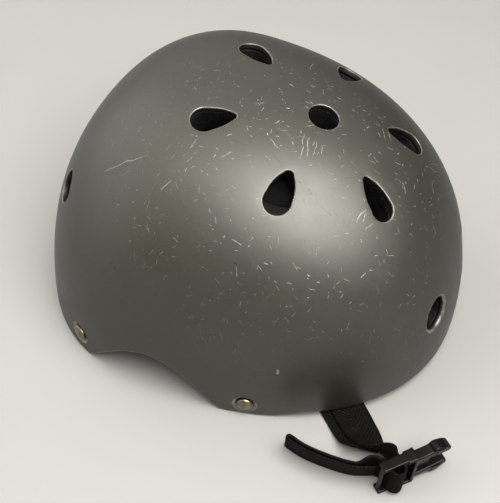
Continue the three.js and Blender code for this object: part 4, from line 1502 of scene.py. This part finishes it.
def from_bmesh(work, axes, origin):
    work.verts.ensure_lookup_table()
    points = np.array([origin + np.array(v.co) @ axes for v in work.verts])
    faces = [tuple(v.index for v in f.verts) for f in work.faces]
    work.free()
    return points, faces


def outline_block(outline, low, high, radius, axes, origin, order):
    """A rounded prism: an outline in two of the own axes, from low to high along the third."""
    work = bmesh.new()
    bottom = []
    for a, b in outline:
        p = np.zeros(3)
        p[order[0]], p[order[1]], p[order[2]] = a, b, low
        bottom.append(work.verts.new(p))
    face = work.faces.new(bottom)
    lifted = bmesh.ops.extrude_face_region(work, geom=[face])
    shift = np.zeros(3)
    shift[order[2]] = high - low
    for v in lifted["geom"]:
        if isinstance(v, bmesh.types.BMVert):
            v.co += Vector(shift)
    bmesh.ops.recalc_face_normals(work, faces=work.faces)
    rims = [e for e in work.edges if abs(e.verts[0].co[order[2]] - e.verts[1].co[order[2]]) < 1e-6]
    round_edges(work, rims, radius, 3)
    return from_bmesh(work, axes, origin)


def fuse(name, parts, voxel, smoothing, material):
    """One moulded body from overlapping closed parts, with its inside corners slightly filled."""
    vertices, faces = [], []
    for points, part_faces in parts:
        base = sum(len(v) for v in vertices)
        vertices.append(points)
        faces += [tuple(base + i for i in f) for f in part_faces]
    obj = face_outwards(make_object(name, np.concatenate(vertices), faces, material))
    remesh = obj.modifiers.new("remesh", "REMESH")
    remesh.mode = "VOXEL"
    remesh.voxel_size = voxel * MM
    smooth = obj.modifiers.new("smooth", "SMOOTH")
    smooth.iterations = smoothing
    smooth.factor = 0.5
    apply_modifiers(obj)
    obj.data.materials.clear()
    obj.data.materials.append(material)
    obj.data.polygons.foreach_set("use_smooth", [True] * len(obj.data.polygons))
    return obj


BUCKLE_AXES = np.array([FORWARD, NEAR, UP])
BUCKLE_VOXEL = 0.28


def male_frame():
    base, top, middle = BUCKLE_BASE_Z, BUCKLE_BASE_Z + BUCKLE_HEIGHT, BUCKLE_MIDDLE_Z

    def block(low, high, radius):
        return rounded_block(low, high, radius, BUCKLE_AXES, SHOULDER)

    parts = [
        block((0, -4.2, base), (2.25, 4.2, top), 0.7),
        block((1.0, -1.2, middle - 3), (13, 1.2, middle + 3), 0.6),
        block((1.0, -2.0, middle - 4.4), (4.0, 2.0, middle + 4.4), 0.8),
    ]
    for z in (base, top - 2.1):
        parts.append(block((END_BAR - 1.3, -3.1, z), (1.0, 3.1, z + 2.1), 0.7))
        parts.append(block((-4.6, -4.0, z), (1.2, 4.0, z + 2.1), 0.8))
    for forward in (INNER_BAR, LADDER_BAR, END_BAR):
        ends = [(forward, 0, base + 1), (forward, 0, top - 1)]
        parts.append(rounded_bar(*ends, 1.3, BUCKLE_AXES, SHOULDER))
    return fuse("male_buckle_moulding", parts, BUCKLE_VOXEL, 2, PLASTIC)


def quadratic(start, control, end, count=8):
    t = np.linspace(0, 1, count + 1)[1:, None]
    start, control, end = (np.array(p, float) for p in (start, control, end))
    return list((1 - t) ** 2 * start + 2 * t * (1 - t) * control + t**2 * end)


def male_prong(name, side):
    s = 2.6
    length = 21.5
    outline = [(s + 0.6, 6.6), (s, 7.9), (s, 9.9)]
    outline += quadratic((s, 9.9), (s + 6, 9.6), (s + 9.5, 10.4))
    outline += [(s + 10.1, 11.6), (s + 10.8, 12.35)]
    outline += quadratic((s + 10.8, 12.35), (s + 16, 13), (s + length - 0.6, 8.4))
    outline += quadratic((s + length - 0.6, 8.4), (s + length + 0.4, 5.9), (s + length - 2, 5.0))
    outline += quadratic((s + length - 2, 5.0), (s + 10, 5.9), (s + 0.6, 6.6))[:-1]
    flat = [(x, BUCKLE_MIDDLE_Z + side * h) for x, h in outline]
    body = outline_block(flat, -3.2, 3.2, 0.7, BUCKLE_AXES, SHOULDER, (0, 2, 1))
    pad = [(s + 11.2, BUCKLE_MIDDLE_Z + side * 6.6), (s + 11.6, BUCKLE_MIDDLE_Z + side * 11.4)]
    pad += [(s + 16.6, BUCKLE_MIDDLE_Z + side * 10.4), (s + 17.4, BUCKLE_MIDDLE_Z + side * 6.4)]
    raised = outline_block(pad, -3.7, 3.7, 0.5, BUCKLE_AXES, SHOULDER, (0, 2, 1))
    return fuse(name, [body, raised], BUCKLE_VOXEL, 2, PLASTIC)


stand_for(male_frame(), "male_buckle", "buckle_plastic", "male_buckle_frame")
for name, side in (("upper", 1), ("lower", -1)):
    node = "male_buckle_" + name + "_prong"
    stand_for(male_prong(node + "_moulding", side), node, "buckle_plastic", node)


def socket_moulding():
    half, length, wall = 12.5, 33.0, 1.5
    back, mouth = 5.0, 33.0
    low, high = -4.5, 4.5
    axes = np.eye(3)
    origin = SOCKET_BAR

    def block(a, b, radius):
        return rounded_block(a, b, radius, axes, origin)

    parts = [
        block((-half, back, high - wall), (half, mouth, high), 0.6),
        block((-half, back, low), (half, mouth, low + wall), 0.6),
        block((-half, back, low), (half, back + wall, high), 0.5),
    ]
    for x in (-half, half - wall):
        parts.append(block((x, back, low), (x + wall, back + 7, high), 0.5))
        parts.append(block((x, mouth - 8, low), (x + wall, mouth, high), 0.5))
        parts.append(block((x, back, high - 2), (x + wall, mouth, high), 0.5))
        parts.append(block((x, back, low), (x + wall, mouth, low + 2), 0.5))
    for x in (-half, half - 2.2):
        parts.append(block((x, -1.4, -2.1), (x + 2.2, back + 1, 2.1), 0.7))
    parts.append(rounded_bar((-half + 0.5, 0, 0), (half - 0.5, 0, 0), 1.3, axes, origin))
    for y in (9, 12, 15):
        parts.append(block((-5, y, high - 0.4), (5, y + 1.2, high + 0.35), 0.3))
    return fuse("female_buckle_moulding", parts, 0.32, 2, PLASTIC)


stand_for(socket_moulding(), "female_buckle", "buckle_plastic", "female_buckle_socket")


# ---------------------------------------------------------------- stage

TABLE_REACH = 4000
table_corners = [(x * TABLE_REACH, y * TABLE_REACH, 0) for x, y in ((-1, -1), (1, -1), (1, 1), (-1, 1))]
TABLE = make_object("table", table_corners, [(0, 1, 2, 3)], table_top())


def helper_point(place, body):
    """An empty that marks one place on a body."""
    empty = bpy.data.objects.new("low_point", None)
    empty.location = place
    empty.hide_render = True
    bpy.context.scene.collection.objects.link(empty)
    if body:
        empty.parent = frame["bodies"][body]
    return empty


def lower_with_hanging_straps(table, bodies):
    """The table stays at z = 0, and sinks only where a hanging strap or buckle would go through it."""
    markers = [helper_point((0, 0, 0), None)]
    for body in bodies:
        corners = [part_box(node) for node in frame["record"]["behaviour"]["bodies"][body]]
        low = [min(c[0][i] for c in corners) for i in range(3)]
        high = [max(c[1][i] for c in corners) for i in range(3)]
        low[2] = max(low[2], 0.0)
        for x in (low[0], high[0]):
            for y in (low[1], high[1]):
                markers += [helper_point((x, y, z), body) for z in (low[2], high[2])]
    driver = table.driver_add("location", 2).driver
    driver.type = "MIN"
    for index, marker in enumerate(markers):
        variable = driver.variables.new()
        variable.name = "z%d" % index
        variable.type = "TRANSFORMS"
        variable.targets[0].id = marker
        variable.targets[0].transform_type = "LOC_Z"
        variable.targets[0].transform_space = "WORLD_SPACE"


lower_with_hanging_straps(TABLE, ["left_chin_strap", "male_buckle", "right_harness", "female_buckle"])


LIGHT_COLOUR = (1.0, 0.985, 0.94)
# The height above the table that the lights point at, in metres.
LIGHT_TARGET = 0.05


def area_light(name, direction, distance, size, power):
    data = bpy.data.lights.new(name, "AREA")
    data.shape = "DISK"
    data.size = size
    data.energy = power
    data.color = LIGHT_COLOUR
    light = bpy.data.objects.new(name, data)
    way = Vector(direction).normalized()
    light.location = way * distance + Vector((0, 0, LIGHT_TARGET))
    light.rotation_euler = way.to_track_quat("Z", "Y").to_euler()
    bpy.context.scene.collection.objects.link(light)
    return light


area_light("key", (-0.34, 0.23, 0.90), distance=1.2, size=1.1, power=24)
area_light("fill", (0.80, 0.20, 0.36), distance=1.4, size=2.4, power=22)
# A broad panel that is seen only in glossy reflections.
panel = area_light("panel", (-0.47, 0.25, 0.84), distance=1.2, size=1.35, power=43)
panel.visible_diffuse = False


def soft_room(base, glow, heading):
    """A dim room that is brighter towards one side."""
    world = bpy.data.worlds.new("soft_room")
    world.use_nodes = True
    room = Nodes(world.node_tree)
    background = room.tree.nodes["Background"]
    coords = room.add("ShaderNodeTexCoord").outputs["Generated"]
    towards = room.vector("DOT_PRODUCT", coords, tuple(unit(heading)), "Value")
    lobe = room.math("POWER", room.math("MAXIMUM", towards), 2.0)
    room.link(room.math("MULTIPLY_ADD", lobe, glow, base), background.inputs[1])
    background.inputs[0].default_value = (1.0, 0.98, 0.94, 1)
    bpy.context.scene.world = world


soft_room(base=0.04, glow=1.4, heading=(0.6, -0.4, 0.65))

# The photograph's camera: lens and sensor, place, and the picture's right and up.
CAMERA_LENS = 71.57
CAMERA_SENSOR = 36
CAMERA_PLACE = (-134.2, 391.3, 494.0)
CAMERA_RIGHT = (-0.9183, -0.3930, 0.0483)
CAMERA_UP = (0.3278, -0.6860, 0.6496)

camera_data = bpy.data.cameras.new("camera")
camera_data.lens = CAMERA_LENS
camera_data.sensor_width = CAMERA_SENSOR
camera = bpy.data.objects.new("camera", camera_data)
right, up = Vector(CAMERA_RIGHT), Vector(CAMERA_UP)
back = right.cross(up)
camera.matrix_world = Matrix.Translation(Vector(to_row(CAMERA_PLACE))) @ Matrix(
    (
        (right.x, up.x, back.x, 0),
        (right.y, up.y, back.y, 0),
        (right.z, up.z, back.z, 0),
        (0, 0, 0, 1),
    )
)
bpy.context.scene.collection.objects.link(camera)
bpy.context.scene.camera = camera
bpy.context.scene.view_settings.view_transform = "Standard"
